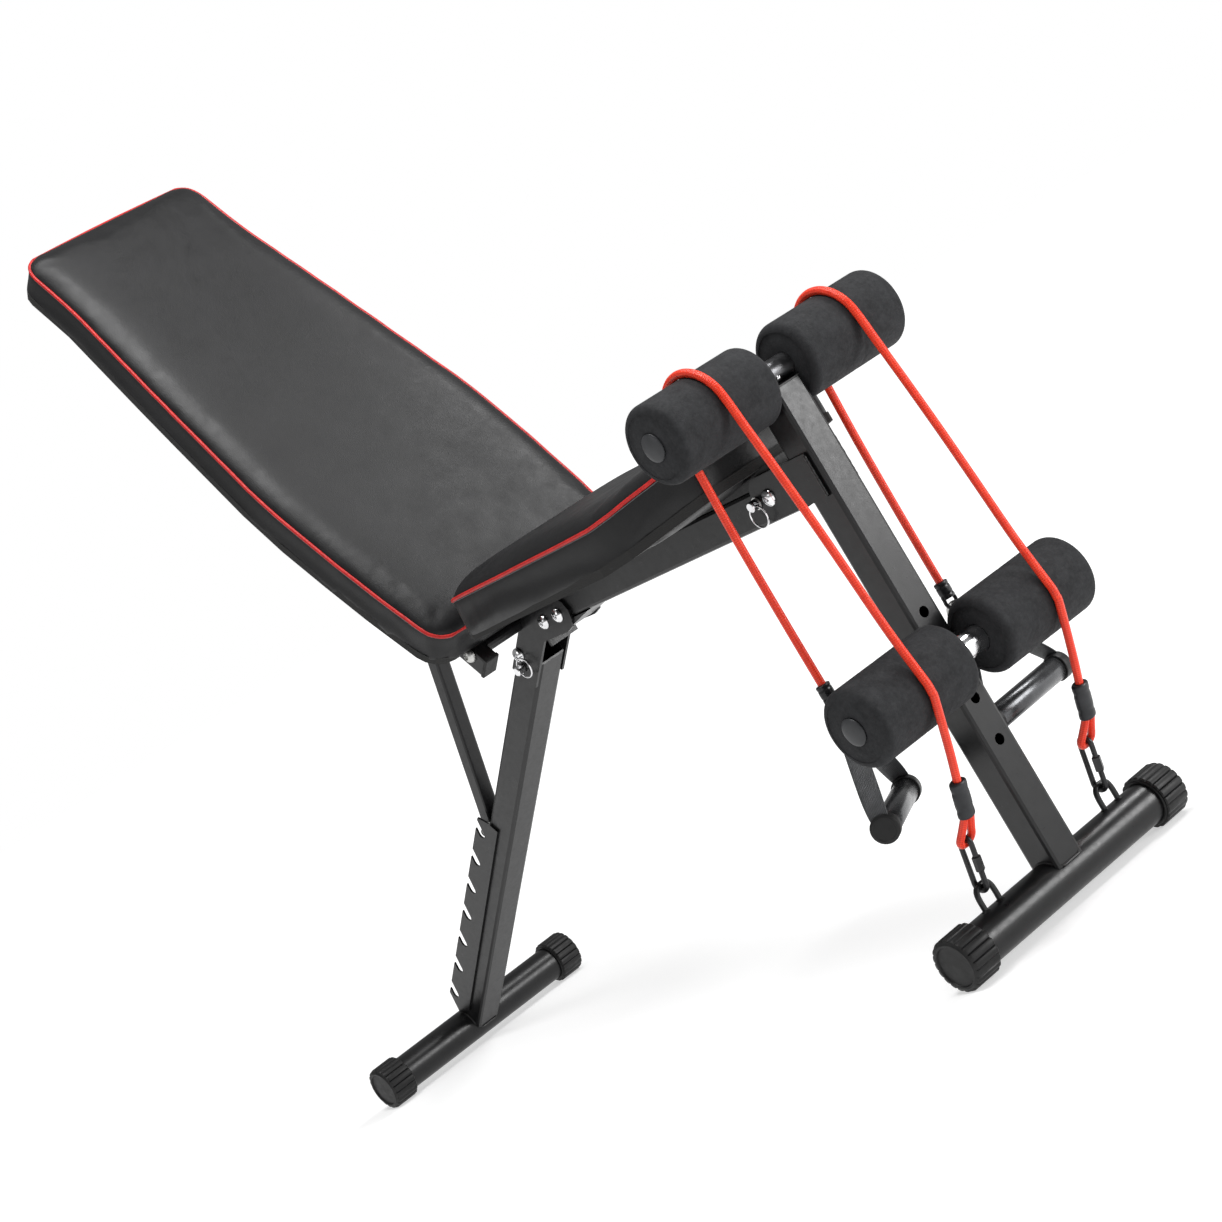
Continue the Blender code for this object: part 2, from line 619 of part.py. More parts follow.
def rear_eye(word, y, post):
    """Ferrule with a steel hoop under it; returns the height of the ferrule's top."""
    bar = REAR_EYE_Z[word]
    low, top = bar + SLEEVE_UP, bar + SLEEVE_UP + FERRULE_LONG
    eye = make("rear_rope_eye_" + word, ferrule((REAR_X, low), (REAR_X, top), *REAR_FERRULE),
               "chain_black", post, (0, y, 0))
    foot_end = (REAR_LOOP_HALF - 0.001, SLEEVE_UP + 0.004)      # the hoop's ends are inside the ferrule
    hoop = [foot_end] + arc((0, REAR_LOOP_HALF), REAR_LOOP_HALF, 0, -180, 8) + [(-foot_end[0], foot_end[1])]
    hoop_body = tube_mesh([(REAR_X, a, bar + b) for a, b in hoop], REAR_LOOP_R)
    boolean(eye, cutter("rear_loop_guide_" + word, hoop_body, post, (0, y, 0)), "UNION")
    return top


def rope_side(word, side, post):
    y = side * ROPE_Y
    foot_staple(word, y, post)
    front_eye(word, y, chain_link(word, y, post), post)
    route = [(x, 0, z) for x, z in rope_route(rear_eye(word, y, post) + GAP)]
    wire("rope_" + word, smooth_route(route, 2), ROPE_D / 2, "rope_red", post, (0, y, 0))


# ---------------------------------------------------------------- D-handles
RING_HALF = 0.0145
RING_R = 0.002
RING_BAR = -0.0220          # ring's straight bar, below the eye's bar
STRAP_T = 0.002
STRAP_W = 0.022
GRIP_DROP = 0.111
GRIP_HALF = 0.0575
GRIP_R = 0.0130
GRIP_BORE = 0.0076


def strap_band(parent, name, at, turn):
    """Webbing in a closed triangle: over the ring's bar, down both sides and through the grip."""
    half_path = [(0.0000, RING_BAR + 0.0037, STRAP_W), (0.0035, RING_BAR + 0.0028, STRAP_W),
                 (0.0075, RING_BAR - 0.0030, STRAP_W), (0.0250, -0.0460, STRAP_W),
                 (0.0500, -0.0790, STRAP_W), (0.0625, -0.0985, 0.019), (0.0645, -0.1060, 0.014),
                 (0.0620, -0.1100, 0.0115), (0.0560, -GRIP_DROP, 0.0105), (0.0280, -GRIP_DROP, 0.0105)]
    path = half_path + [(0.0, -GRIP_DROP, 0.0105)]
    path += [(-y, z, w) for y, z, w in reversed(half_path[1:])]
    rings = []
    for i, (y, z, w) in enumerate(path):
        before, after = path[i - 1], path[(i + 1) % len(path)]
        tangent = Vector((0, after[0] - before[0], after[1] - before[1])).normalized()
        side = Vector((0, -tangent.z, tangent.y)) * STRAP_T / 2
        middle = Vector((0, y, z))
        wide = Vector((w / 2, 0, 0))
        rings.append([middle + side + wide, middle - side + wide, middle - side - wide, middle + side - wide])
    make(name, loft(rings, closed=True), "webbing_grey", parent, at, turn)


def d_handle(word, side, parent, yaw, swing):
    at = (REAR_X, side * ROPE_Y, REAR_EYE_Z[word])
    turn = (0.0, swing, yaw)
    path = [(-RING_HALF, 0, RING_BAR), (-RING_HALF, 0, -0.0100)]
    path += [(a, 0, b) for a, b in arc((0, -0.0100), RING_HALF, 150, 30, 6)]
    path += [(RING_HALF, 0, -0.0100), (RING_HALF, 0, RING_BAR)]
    wire("handle_ring_" + word, path, RING_R, "zinc", parent, at, True, turn)
    strap_band(parent, "handle_strap_" + word, at, turn)
    grip = turned([(GRIP_BORE, -GRIP_HALF), (GRIP_R - 0.001, -GRIP_HALF), (GRIP_R, -GRIP_HALF + 0.001),
                   (GRIP_R, GRIP_HALF - 0.001), (GRIP_R - 0.001, GRIP_HALF), (GRIP_BORE, GRIP_HALF)], 16)
    bmesh.ops.translate(grip, verts=grip.verts, vec=(0, 0, -GRIP_DROP))
    make("handle_grip_" + word, grip, "plastic_black", parent, at, turn)


# ---------------------------------------------------------------- rear leg
TURN_LEG = (0.0, -LEG_ANGLE, 0.0)       # local X runs up the leg, local Z is its upper side
RACK_T = 0.0025


def rear_leg(leg):
    origin = (REAR_FOOT_X, 0, FOOT_Z)
    pivot = Vector((LEG_PIVOT[0] - REAR_FOOT_X, 0, LEG_PIVOT[1] - FOOT_Z))
    along = pivot.x * math.cos(LEG_ANGLE) + pivot.z * math.sin(LEG_ANGLE)
    slope = (LEG_TOP_HIGH - LEG_TOP_LOW) / TUBE
    tube = make("rear_leg", frame_tube(0.015, along + (LEG_TOP_LOW + LEG_TOP_HIGH) / 2, slope),
                "frame_black", leg, origin, TURN_LEG)
    boolean(tube, cutter("leg_saddle", peg(FOOT_R + GAP, -0.03, 0.03, 24), leg, origin))
    drill(tube, "leg_pivot_hole", (LEG_PIVOT[0], 0, LEG_PIVOT[1]), PIVOT_R + HOLE, 0.03, leg)
    make("leg_pivot_bolt", bolt(PIVOT_R, 0.0090, 0.005, CHEEK_OUT), "chrome",
         leg, (LEG_PIVOT[0], 0, LEG_PIVOT[1]))
    for word, side in (("left", 1), ("right", -1)):
        plate = prism(rack_outline(), side * CHEEK_Y, side * (CHEEK_Y + RACK_T))
        make("rack_plate_" + word, plate, "frame_black", leg, origin, TURN_LEG)


def rack_outline():
    """Side plate with open slots that slant outward and up the leg."""
    edge = 0.036
    radius = ROD_R + 0.0005
    flank = radius * math.sqrt(0.5)
    points = [(0.0370, 0.0), (0.0195, 0.0145), (0.0410, edge)]
    for i in range(RACK_SLOTS):
        root = RACK_FIRST + RACK_PITCH * i
        points.append((root - flank + edge - ROD_PERP - flank, edge))
        points += arc((root, ROD_PERP), radius, 135, 315, 5)
        points.append((root + flank + edge - ROD_PERP + flank, edge))
    return points + [(0.4060, edge), (0.4116, 0.0180), (0.4110, 0.0020)]


# ---------------------------------------------------------------- backrest
BACK_WIDTHS = ((-0.753, 0.134), (-0.650, 0.1345), (-0.480, 0.150), (-0.270, 0.1665),
               (-0.120, 0.1620), (0.003, 0.152))
BACK_BASE = 0.0090
BACK_PIPING = 0.0547
BACK_CROWN = 0.0657
RAIL_Y = 0.085
TURN_BACK = (0.0, INCLINE, 0.0)         # local X runs down the backrest, local Z out of the cushion


def backrest(back):
    at = (HINGE[0], 0, HINGE[1])
    board_top = BACK_BASE + BOARD
    board = make("backrest_board", slab(BACK_WIDTHS, 0.033, 10, BACK_BASE, board_top, inset=0.004),
                 "board_black", back, at, TURN_BACK)
    pad = make("backrest_pad", cushion(BACK_WIDTHS, 0.033, 10, board_top + GAP, BACK_PIPING, BACK_CROWN),
               "leather_black", back, at, TURN_BACK)
    # hollow in the underside of the lower end, where the beam's end passes
    hollow = prism([(0.0, 0.44), (0.09, 0.44), (0.09, 0.4984), (0.0, 0.4984)], -0.0245, 0.0245)
    tool = cutter("beam_relief", hollow, back, (0, 0, 0))
    boolean(board, tool)
    boolean(pad, tool)
    for word, side in (("left", 1), ("right", -1)):
        rail = make("back_rail_" + word, box_tube(0.020, 0.027, 0.003, -0.660, 0.0198), "frame_black",
                    back, (HINGE[0], side * RAIL_Y, HINGE[1]), TURN_BACK)
        rail.data.transform(Matrix.Translation((0, 0, BACK_BASE - 0.0006 - 0.0135)))
        drill(rail, "rail_hole_" + word, at, HINGE_SHAFT_R + HOLE, 0.11, back)
    make("hinge_shaft", bolt(HINGE_SHAFT_R, 0.0084, 0.007, RAIL_Y + 0.010 + GAP, 12), "zinc", back, at)
    # U-shaped strut bracket between the rails
    x, z = STRUT_TOP
    top = BACK_BASE - 0.0006
    ear_in, ear_out, ear_low = 0.0106, 0.0136, z - 0.012
    half = RAIL_Y - 0.010 - 0.0005
    section = [(-half, top), (-half, top - 0.003), (-ear_out, top - 0.003), (-ear_out, ear_low),
               (-ear_in, ear_low), (-ear_in, top - 0.003)]
    section += [(-y, h) for y, h in reversed(section)]
    bracket = make("strut_bracket", loft([[(x + dx, y, h) for y, h in section] for dx in (-0.018, 0.018)]),
                   "frame_black", back, at, TURN_BACK)
    pivot = strut_pivot()
    rivet = bolt(BOLT_R, 0.0075, 0.004, ear_out - 0.0002)
    boolean(bracket, cutter("strut_rivet_guide", rivet, back, pivot), "UNION")


def strut_pivot():
    """The strut's top pivot in the datum frame."""
    x, z = STRUT_TOP
    return (HINGE[0] + x * math.cos(INCLINE) + z * math.sin(INCLINE), 0,
            HINGE[1] - x * math.sin(INCLINE) + z * math.cos(INCLINE))


def top_slot():
    """Centre of the rod in the highest slot, in the datum frame."""
    along = RACK_FIRST + RACK_PITCH * (RACK_SLOTS - 1)
    return (REAR_FOOT_X + along * math.cos(LEG_ANGLE) - ROD_PERP * math.sin(LEG_ANGLE), 0,
            FOOT_Z + along * math.sin(LEG_ANGLE) + ROD_PERP * math.cos(LEG_ANGLE))


def prop_strut(strut):
    top, low = Vector(strut_pivot()), Vector(top_slot())
    span = low - top
    turn = (0.0, math.atan2(-span.z, span.x), 0.0)
    tube = make("strut_tube", box_tube(0.020, 0.020, 0.003, -0.010, span.length - 0.012), "frame_black",
                strut, tuple(top), turn)
    drill(tube, "strut_top_hole", tuple(top), BOLT_R + HOLE, 0.03, strut)
    rod_half = CHEEK_Y - 0.0008         # ends clear of the rack plates' inner faces
    rod = make("strut_rod", peg(ROD_R, -rod_half, rod_half, 16, 0.0008), "zinc", strut, tuple(low), turn)
    tongue = prism([(-0.040, -0.0040), (0.0, -0.0040), (0.0, 0.0040), (-0.040, 0.0040)], -0.0072, 0.0072)
    boolean(rod, cutter("rod_tongue_guide", tongue, strut, tuple(low), turn), "UNION")


# ---------------------------------------------------------------- lock pins and pull rings
PULL_R = 0.0120
PULL_WIRE = 0.0010
PULL_HOLE = 0.0029
PIN_HEAD_R = 0.0055
PIN_HEAD_FROM = 0.0243
PIN_HEAD_TO = 0.0335
PULL_Y = -0.0290


def lock_pin(name, centre, parent, hang):
    """Pin through the near cheek with a cross-drilled head; hang turns the pull ring about the pin."""
    tip = CHEEK_Y + 0.0002
    profile = [(0, -tip), (PIN_R, -tip), (PIN_R, -PIN_HEAD_FROM), (PIN_HEAD_R, -PIN_HEAD_FROM),
               (PIN_HEAD_R, -PIN_HEAD_TO + 0.001), (PIN_HEAD_R - 0.001, -PIN_HEAD_TO), (0, -PIN_HEAD_TO)]
    at = (centre[0], 0, centre[1])
    pin = make(name + "_lock_pin", turned(profile, 16), "chrome", parent, at)
    hole = peg(PULL_HOLE, -0.01, 0.01, 12)
    bmesh.ops.rotate(hole, verts=hole.verts, cent=(0, 0, 0), matrix=Matrix.Rotation(math.pi / 2, 3, "Z"))
    boolean(pin, cutter(name + "_pin_hole", hole, parent, (centre[0], PULL_Y, centre[1]), (0, hang, 0)))


def pin_washer(centre, parent):
    """Washer between the front bracket's cheek and the lock pin's head; pin and ring turn with it."""
    profile = [(PIN_R + GAP, -CHEEK_OUT), (0.0068, -CHEEK_OUT), (0.0068, -PIN_HEAD_FROM + GAP / 2),
               (PIN_R + GAP, -PIN_HEAD_FROM + GAP / 2)]
    make("front_pin_washer", turned(profile, 16), "zinc", parent, (centre[0], 0, centre[1]))


def pull_ring(name, centre, parent, hang):
    ring = [(x, 0, z - PULL_R) for x, z in circle(PULL_R, 16)]
    wire(name + "_pull_ring", ring, PULL_WIRE, "zinc", parent, (centre[0], PULL_Y, centre[1]),
         True, (0.0, hang, 0.0))


# ---------------------------------------------------------------- assembly
def build():
    clear_scene()
    bench = pivot_empty("bench", (0, 0, 0))
    main_beam(bench)
    seat(bench)
    rear_clevis(bench)

    post = pivot_empty("front_post_joint", (FRONT_PIVOT[0], 0, FRONT_PIVOT[1]), bench)
    front_post(post)
    front_bracket(post)
    foot("front_foot", FRONT_FOOT_X, post)
    roller_shaft("upper_roller_shaft", UPPER_ROLLER, UPPER_SHAFT_R, post)
    roller_shaft("lower_roller_shaft", LOWER_ROLLER, LOWER_SHAFT_R, post)
    lower_roller_bracket(post)
    sides = (("left", 1), ("right", -1))
    levels = (("upper", UPPER_ROLLER, UPPER_SHAFT_R), ("lower", LOWER_ROLLER, LOWER_SHAFT_R))
    for level, centre, radius in levels:
        for word, side in sides:
            spin = pivot_empty(f"{level}_{word}_spin", (centre[0], 0, centre[1]), post)
            foam_roller(level, word, side, centre, radius, spin)
    handle_yaw = {"right": math.radians(36), "left": math.radians(6)}
    handle_swing = {"right": 0.0, "left": math.radians(-12)}
    for word, side in sides:
        rope_side(word, side, post)
        hang = pivot_empty(f"handle_{word}_swing", (REAR_X, side * ROPE_Y, REAR_EYE_Z[word]), post)
        d_handle(word, side, hang, handle_yaw[word], handle_swing[word])

    leg = pivot_empty("rear_leg_joint", (LEG_PIVOT[0], 0, LEG_PIVOT[1]), bench)
    rear_leg(leg)
    foot("rear_foot", REAR_FOOT_X, leg)

    back = pivot_empty("backrest_joint", (HINGE[0], 0, HINGE[1]), bench)
    backrest(back)
    strut = pivot_empty("strut_joint", strut_pivot(), back)
    prop_strut(strut)

    for name, centre, carrier, hang in (("front", FRONT_PIN, post, 0.0),
                                        ("leg", LEG_PIN, bench, math.radians(-92))):
        if name == "front":
            carrier = pivot_empty("front_pin_turn", (centre[0], 0, centre[1]), post)
            pin_washer(centre, carrier)
        slide = pivot_empty(name + "_pin_slide", (centre[0], PULL_Y, centre[1]), carrier)
        lock_pin(name, centre, slide, hang)
        swing = pivot_empty(name + "_ring_swing", (centre[0], PULL_Y, centre[1]), slide)
        pull_ring(name, centre, swing, hang)

    bench.location = (-DATUM_X, 0.0, 0.0)


build()
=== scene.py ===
import math

import bmesh
import bpy
from mathutils import Euler, Matrix, Vector
from mathutils.bvhtree import BVHTree


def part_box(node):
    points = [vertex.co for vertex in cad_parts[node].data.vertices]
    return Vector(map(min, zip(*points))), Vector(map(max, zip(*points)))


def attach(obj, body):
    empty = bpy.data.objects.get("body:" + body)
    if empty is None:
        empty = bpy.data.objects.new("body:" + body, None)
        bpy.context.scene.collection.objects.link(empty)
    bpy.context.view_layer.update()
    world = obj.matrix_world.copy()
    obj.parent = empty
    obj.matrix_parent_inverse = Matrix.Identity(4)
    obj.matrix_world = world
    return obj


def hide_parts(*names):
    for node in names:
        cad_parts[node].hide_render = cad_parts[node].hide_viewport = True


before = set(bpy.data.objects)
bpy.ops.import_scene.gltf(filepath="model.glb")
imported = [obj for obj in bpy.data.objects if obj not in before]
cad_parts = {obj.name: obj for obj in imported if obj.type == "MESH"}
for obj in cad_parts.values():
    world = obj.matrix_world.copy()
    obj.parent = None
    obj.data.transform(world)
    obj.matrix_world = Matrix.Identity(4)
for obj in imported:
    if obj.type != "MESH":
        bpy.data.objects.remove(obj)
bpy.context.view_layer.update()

# -------- places, read from the CAD frame
# X is measured from a datum on the floor, about midway between the feet; the row frame's origin lies DATUM_X
# ahead of it.
DATUM_X = 0.02595


def middle(name):
    """Middle of a CAD node's box, with x from the datum."""
    low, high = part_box(name)
    return (low + high) / 2 + Vector((DATUM_X, 0, 0))


FRONT_FOOT_X = middle("front_foot").x
REAR_FOOT_X = middle("rear_foot").x
POST_X = middle("front_post").x
UPPER_ROLLER = middle("upper_foam_left").xz
LOWER_ROLLER = middle("lower_foam_left").xz

# -------- driving dimensions, as in part.py
FOOT_R = 0.0225
FOOT_CAP_R = 0.0286
FOOT_CAP_OUT = 0.170
FOOT_CAP_LEN = 0.036
FOAM_R = 0.0405
FOAM_IN = 0.0235
FOAM_OUT = 0.1600
HALF_TUBE = 0.019
LEG_ANGLE = math.radians(34.25)
HINGE = (0.022, 0.479)
INCLINE = math.radians(57.0)
ROPE_D = 0.0085
ROPE_Y = 0.095
ROPE_WRAP_R = 0.0455
REAR_X = 0.5475
REAR_EYE_Z = {"right": 0.2810, "left": 0.2930}
SIDES = (("left", 1), ("right", -1))

UPRIGHT = Matrix.Translation((-DATUM_X, 0, 0))
BACK = UPRIGHT @ Matrix.Translation((HINGE[0], 0, HINGE[1])) @ Matrix.Rotation(INCLINE, 4, "Y")
LEG = UPRIGHT @ Matrix.Translation((REAR_FOOT_X, 0, FOOT_CAP_R)) @ Matrix.Rotation(-LEG_ANGLE, 4, "Y")


# -------- camera
CAMERA_AT = (2.68465, -1.7165, 0.6819)
CAMERA_AZIMUTH = math.radians(56.03)
CAMERA_ELEVATION = math.radians(4.40)
CAMERA_ROLL = math.radians(31.14)
CAMERA_LENS = 83.96


def added(name, data):
    """A new object in the scene."""
    obj = bpy.data.objects.new(name, data)
    bpy.context.scene.collection.objects.link(obj)
    return obj


def camera():
    """The photograph's view: level bench, camera rolled."""
    flat = math.cos(CAMERA_ELEVATION)
    forward = Vector((-math.sin(CAMERA_AZIMUTH) * flat, math.cos(CAMERA_AZIMUTH) * flat,
                      -math.sin(CAMERA_ELEVATION)))
    right = forward.cross(Vector((0, 0, 1))).normalized()
    up = right.cross(forward)
    turned_up = up * math.cos(CAMERA_ROLL) + right * math.sin(CAMERA_ROLL)
    turned_right = right * math.cos(CAMERA_ROLL) - up * math.sin(CAMERA_ROLL)
    data = bpy.data.cameras.new("photo_camera")
    data.lens = CAMERA_LENS
    data.clip_end = 50.0
    obj = added("photo_camera", data)
    basis = Matrix((turned_right, turned_up, -forward)).transposed().to_4x4()
    obj.matrix_world = Matrix.Translation(CAMERA_AT) @ basis
    bpy.context.scene.camera = obj


camera()


# -------- node materials
def node(tree, kind, inputs=None, **settings):
    """A node with its settings; an input is a value or another node's output socket."""
    made = tree.nodes.new(kind)
    for key, value in settings.items():
        setattr(made, key, value)
    for key, value in (inputs or {}).items():
        if isinstance(value, bpy.types.NodeSocket):
            tree.links.new(value, made.inputs[key])
        else:
            made.inputs[key].default_value = value
    return made


def start(name, roughness=0.5, metallic=0.0, **sockets):
    """A new Principled material: (material, tree, shader, object coordinates)."""
    material = bpy.data.materials.new(name)
    material.use_nodes = True
    tree = material.node_tree
    shader = tree.nodes["Principled BSDF"]
    shader.inputs["Roughness"].default_value = roughness
    shader.inputs["Metallic"].default_value = metallic
    for key, value in sockets.items():
        shader.inputs[key.replace("_", " ")].default_value = value
    coords = node(tree, "ShaderNodeTexCoord").outputs["Object"]
    return material, tree, shader, coords


def noise(tree, coords, scale, detail=3.0, rough=0.55):
    """A noise texture's 0 to 1 output."""
    return node(tree, "ShaderNodeTexNoise", {"Vector": coords, "Scale": scale, "Detail": detail,
                                             "Roughness": rough}).outputs["Fac"]


def spread(tree, value, low, high, start_at=0.3, end_at=0.7):
    """Map a 0 to 1 value on to a range."""
    return node(tree, "ShaderNodeMapRange", {"Value": value, "From Min": start_at, "From Max": end_at,
                                             "To Min": low, "To Max": high}).outputs["Result"]


def maths(tree, operation, *values):
    """A math node's output."""
    return node(tree, "ShaderNodeMath", dict(enumerate(values)), operation=operation).outputs[0]


def tint(tree, shader, fac, one, two):
    """Colour the shader from one to two as fac runs from 0 to 1."""
    ramp = node(tree, "ShaderNodeMix", {"Factor": fac}, data_type="RGBA")
    ramp.inputs[6].default_value = (*one, 1.0)
    ramp.inputs[7].default_value = (*two, 1.0)
    tree.links.new(ramp.outputs[2], shader.inputs["Base Color"])


def bump(tree, shader, height, strength, distance):
    """Wire a height into the shader's normal."""
    made = node(tree, "ShaderNodeBump", {"Height": height, "Strength": strength, "Distance": distance})
    tree.links.new(made.outputs["Normal"], shader.inputs["Normal"])


def mottled(name, dark, light, roughness, metallic=0.0, patch=45.0, grain=900.0, relief=0.10, depth=0.0002,
            **sockets):
    """Paint, plastic or metal: faint patches of colour, uneven gloss and a fine surface grain."""
    material, tree, shader, coords = start(name, roughness[0], metallic, **sockets)
    patches = noise(tree, coords, patch, 4.0)
    tint(tree, shader, spread(tree, patches, 0.0, 1.0), dark, light)
    gloss = noise(tree, coords, patch * 3.1, 5.0, 0.65)
    tree.links.new(spread(tree, gloss, *roughness), shader.inputs["Roughness"])
    bump(tree, shader, noise(tree, coords, grain, 2.0), relief, depth)
    return material


def leather():
    """Black faux leather: pebbled grain, fine pores, satin gloss."""
    material, tree, shader, coords = start("leather_black", 0.42, Specular_IOR_Level=0.30)
    pebbles = node(tree, "ShaderNodeTexVoronoi", {"Vector": coords, "Scale": 620.0, "Randomness": 0.9},
                   feature="DISTANCE_TO_EDGE").outputs["Distance"]
    raised = spread(tree, pebbles, 0.0, 1.0, 0.0, 0.35)
    pores = noise(tree, coords, 1500.0, 2.0)
    bump(tree, shader, maths(tree, "ADD", raised, pores), 0.22, 0.00025)
    patches = noise(tree, coords, 14.0, 4.0)
    tint(tree, shader, spread(tree, patches, 0, 1), (0.0034, 0.0034, 0.0038), (0.0062, 0.0062, 0.0068))
    tree.links.new(spread(tree, noise(tree, coords, 30.0, 5.0, 0.7), 0.36, 0.50), shader.inputs["Roughness"])
    return material


def foam():
    """Charcoal foam sleeve: closed cells and a faint scuff."""
    material, tree, shader, coords = start("foam_charcoal", 0.9, Specular_IOR_Level=0.22)
    cells = node(tree, "ShaderNodeTexVoronoi", {"Vector": coords, "Scale": 900.0}).outputs["Distance"]
    coarse = noise(tree, coords, 260.0, 4.0, 0.7)
    bump(tree, shader, maths(tree, "ADD", cells, coarse), 0.35, 0.0004)
    scuff = noise(tree, coords, 60.0, 6.0, 0.75)
    tint(tree, shader, spread(tree, scuff, 0, 1), (0.0115, 0.0118, 0.0128), (0.0260, 0.0266, 0.0285))
    tree.links.new(spread(tree, coarse, 0.70, 0.95), shader.inputs["Roughness"])
    return material


def along_strands(tree, along_scale, around_scale, sign):
    """Diagonal bands over a piece's own along/around coordinates."""
    coords = node(tree, "ShaderNodeUVMap", uv_map="along").outputs["UV"]
    parts = node(tree, "ShaderNodeSeparateXYZ", {0: coords})
    along = maths(tree, "MULTIPLY", parts.outputs["X"], along_scale)
    around = maths(tree, "MULTIPLY", parts.outputs["Y"], sign * around_scale)
    return maths(tree, "SINE", maths(tree, "ADD", along, around))


TURN = 2 * math.pi


def braid(name, dark, light, pitch, strands, depth, roughness, metallic=0.0, **sockets):
    """Two families of crossing strands, for the rope's braided cover and the webbing's weave.

    The pitch is their length along the piece, and strands is how many lie round it.
    """
    along_scale, around_scale = TURN / pitch, TURN * strands
    material, tree, shader, coords = start(name, roughness, metallic, **sockets)
    one = along_strands(tree, along_scale, around_scale, 1)
    two = along_strands(tree, along_scale, around_scale, -1)
    height = spread(tree, maths(tree, "MULTIPLY", one, two), 0.0, 1.0, -1.0, 1.0)
    fibre = noise(tree, coords, 2200.0, 2.0)
    bump(tree, shader, maths(tree, "ADD", height, fibre), 0.55, depth)
    # painted shade: the colour darkens in the grooves between strands, and the strands' crests vary at
    # random in tone
    groove_shade_and_tone = maths(tree, "MULTIPLY", height, noise(tree, coords, 90.0, 4.0))
    tint(tree, shader, spread(tree, groove_shade_and_tone, 0, 1, 0.05, 0.55), dark, light)
    return material


def board():
    """Black-stained plywood edge."""
    material, tree, shader, coords = start("board_black", 0.8)
    layers = node(tree, "ShaderNodeTexWave", {"Vector": coords, "Scale": 180.0, "Distortion": 3.0,
                                              "Detail": 2.0}, bands_direction="Z").outputs["Fac"]
    tint(tree, shader, layers, (0.004, 0.004, 0.0037), (0.009, 0.0085, 0.008))
    bump(tree, shader, layers, 0.2, 0.0003)
    return material


BLACK_GLOSS = 0.30      # specular level of the black finishes: the photo's blacks stay deep
STEEL = mottled("powder_coat", (0.0040, 0.0040, 0.0043), (0.0075, 0.0075, 0.0080), (0.27, 0.38),
                Specular_IOR_Level=0.36)
PLASTIC = mottled("moulded_plastic", (0.0045, 0.0045, 0.0046), (0.0090, 0.0090, 0.0092), (0.40, 0.56),
                  grain=500.0, Specular_IOR_Level=BLACK_GLOSS)
DISC = mottled("roller_disc_plastic", (0.022, 0.023, 0.025), (0.036, 0.037, 0.040), (0.30, 0.42),
               grain=500.0, Specular_IOR_Level=BLACK_GLOSS)
CHROME = mottled("chrome", (0.66, 0.66, 0.67), (0.80, 0.80, 0.81), (0.08, 0.20), 1.0, relief=0.03)
ZINC = mottled("zinc_plate", (0.42, 0.42, 0.41), (0.60, 0.60, 0.58), (0.26, 0.42), 1.0, relief=0.08)
SATIN = mottled("satin_shaft", (0.10, 0.10, 0.105), (0.16, 0.16, 0.165), (0.30, 0.42), 1.0)
CHAIN = mottled("black_oxide", (0.008, 0.008, 0.009), (0.018, 0.018, 0.019), (0.24, 0.36), 0.3,
                Specular_IOR_Level=0.45)
CRIMP = mottled("ferrule_grey", (0.014, 0.0145, 0.016), (0.030, 0.031, 0.034), (0.32, 0.46), 0.2,
                grain=600.0, Specular_IOR_Level=BLACK_GLOSS)
GRIP = mottled("satin_grip", (0.060, 0.061, 0.064), (0.100, 0.102, 0.106), (0.20, 0.30), 0.85,
               grain=700.0, relief=0.04)
WELD = mottled("weld_bead", (0.004, 0.004, 0.004), (0.009, 0.009, 0.009), (0.34, 0.50), relief=0.5,
               grain=420.0, depth=0.0006, Specular_IOR_Level=0.42)
PIPING_RED = mottled("piping_red", (0.34, 0.008, 0.008), (0.50, 0.016, 0.013), (0.32, 0.46), patch=120.0,
                     Specular_IOR_Level=BLACK_GLOSS)
# painted highlight: a thin light grey line laid just under each cushion's piping
PAINTED_HIGHLIGHT_GREY = mottled("painted_highlight_line", (0.055, 0.055, 0.058), (0.12, 0.12, 0.125), (0.50, 0.65), patch=400.0)
LEATHER = leather()
FOAM = foam()
BOARD = board()
ROPE_RED = braid("rope_red", (0.62, 0.026, 0.010), (0.90, 0.066, 0.026), 0.0044, 4, 0.00045, 0.28,
                 Specular_IOR_Level=0.3)
WEBBING = braid("webbing_grey", (0.022, 0.023, 0.0245), (0.080, 0.082, 0.086), 0.0022, 7, 0.0003, 0.36, 0.35,
                Sheen_Weight=0.2, Sheen_Roughness=0.35)


# -------- shape helpers
def piece(name, bm, material, body, place=UPRIGHT, replaces=(), sharp=38.0):
    """A finished mesh piece in the row frame that rides on a body and may stand for CAD nodes."""
    bmesh.ops.transform(bm, matrix=place, verts=bm.verts)
    bmesh.ops.recalc_face_normals(bm, faces=bm.faces)
    mesh = bpy.data.meshes.new(name)
    bm.to_mesh(mesh)
    bm.free()
    mesh.shade_smooth()
    mesh.set_sharp_from_angle(angle=math.radians(sharp))
    mesh.materials.append(material)
    obj = added(name, mesh)
    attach(obj, body)
    if replaces:
        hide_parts(*replaces)
    return obj


def arc(centre, radius, from_deg, to_deg, steps):
    """Points of an arc, both ends included."""
    points = []
    for i in range(steps + 1):
        angle = math.radians(from_deg + (to_deg - from_deg) * i / steps)
        points.append((centre[0] + radius * math.cos(angle), centre[1] + radius * math.sin(angle)))
    return points


def smooth_route(points, reads):
    """Catmull-Rom curve through the points, read at the given number of places in each span."""
    knots = [Vector(p) for p in points]
    chain = [2 * knots[0] - knots[1]] + knots + [2 * knots[-1] - knots[-2]]
    route = []
    for p0, p1, p2, p3 in zip(chain, chain[1:], chain[2:], chain[3:]):
        for i in range(reads):
            t = i / reads
            route.append(0.5 * (2 * p1 + (p2 - p0) * t + (2 * p0 - 5 * p1 + 4 * p2 - p3) * t * t
                                + (3 * p1 - p0 - 3 * p2 + p3) * t ** 3))
    return route + [knots[-1]]


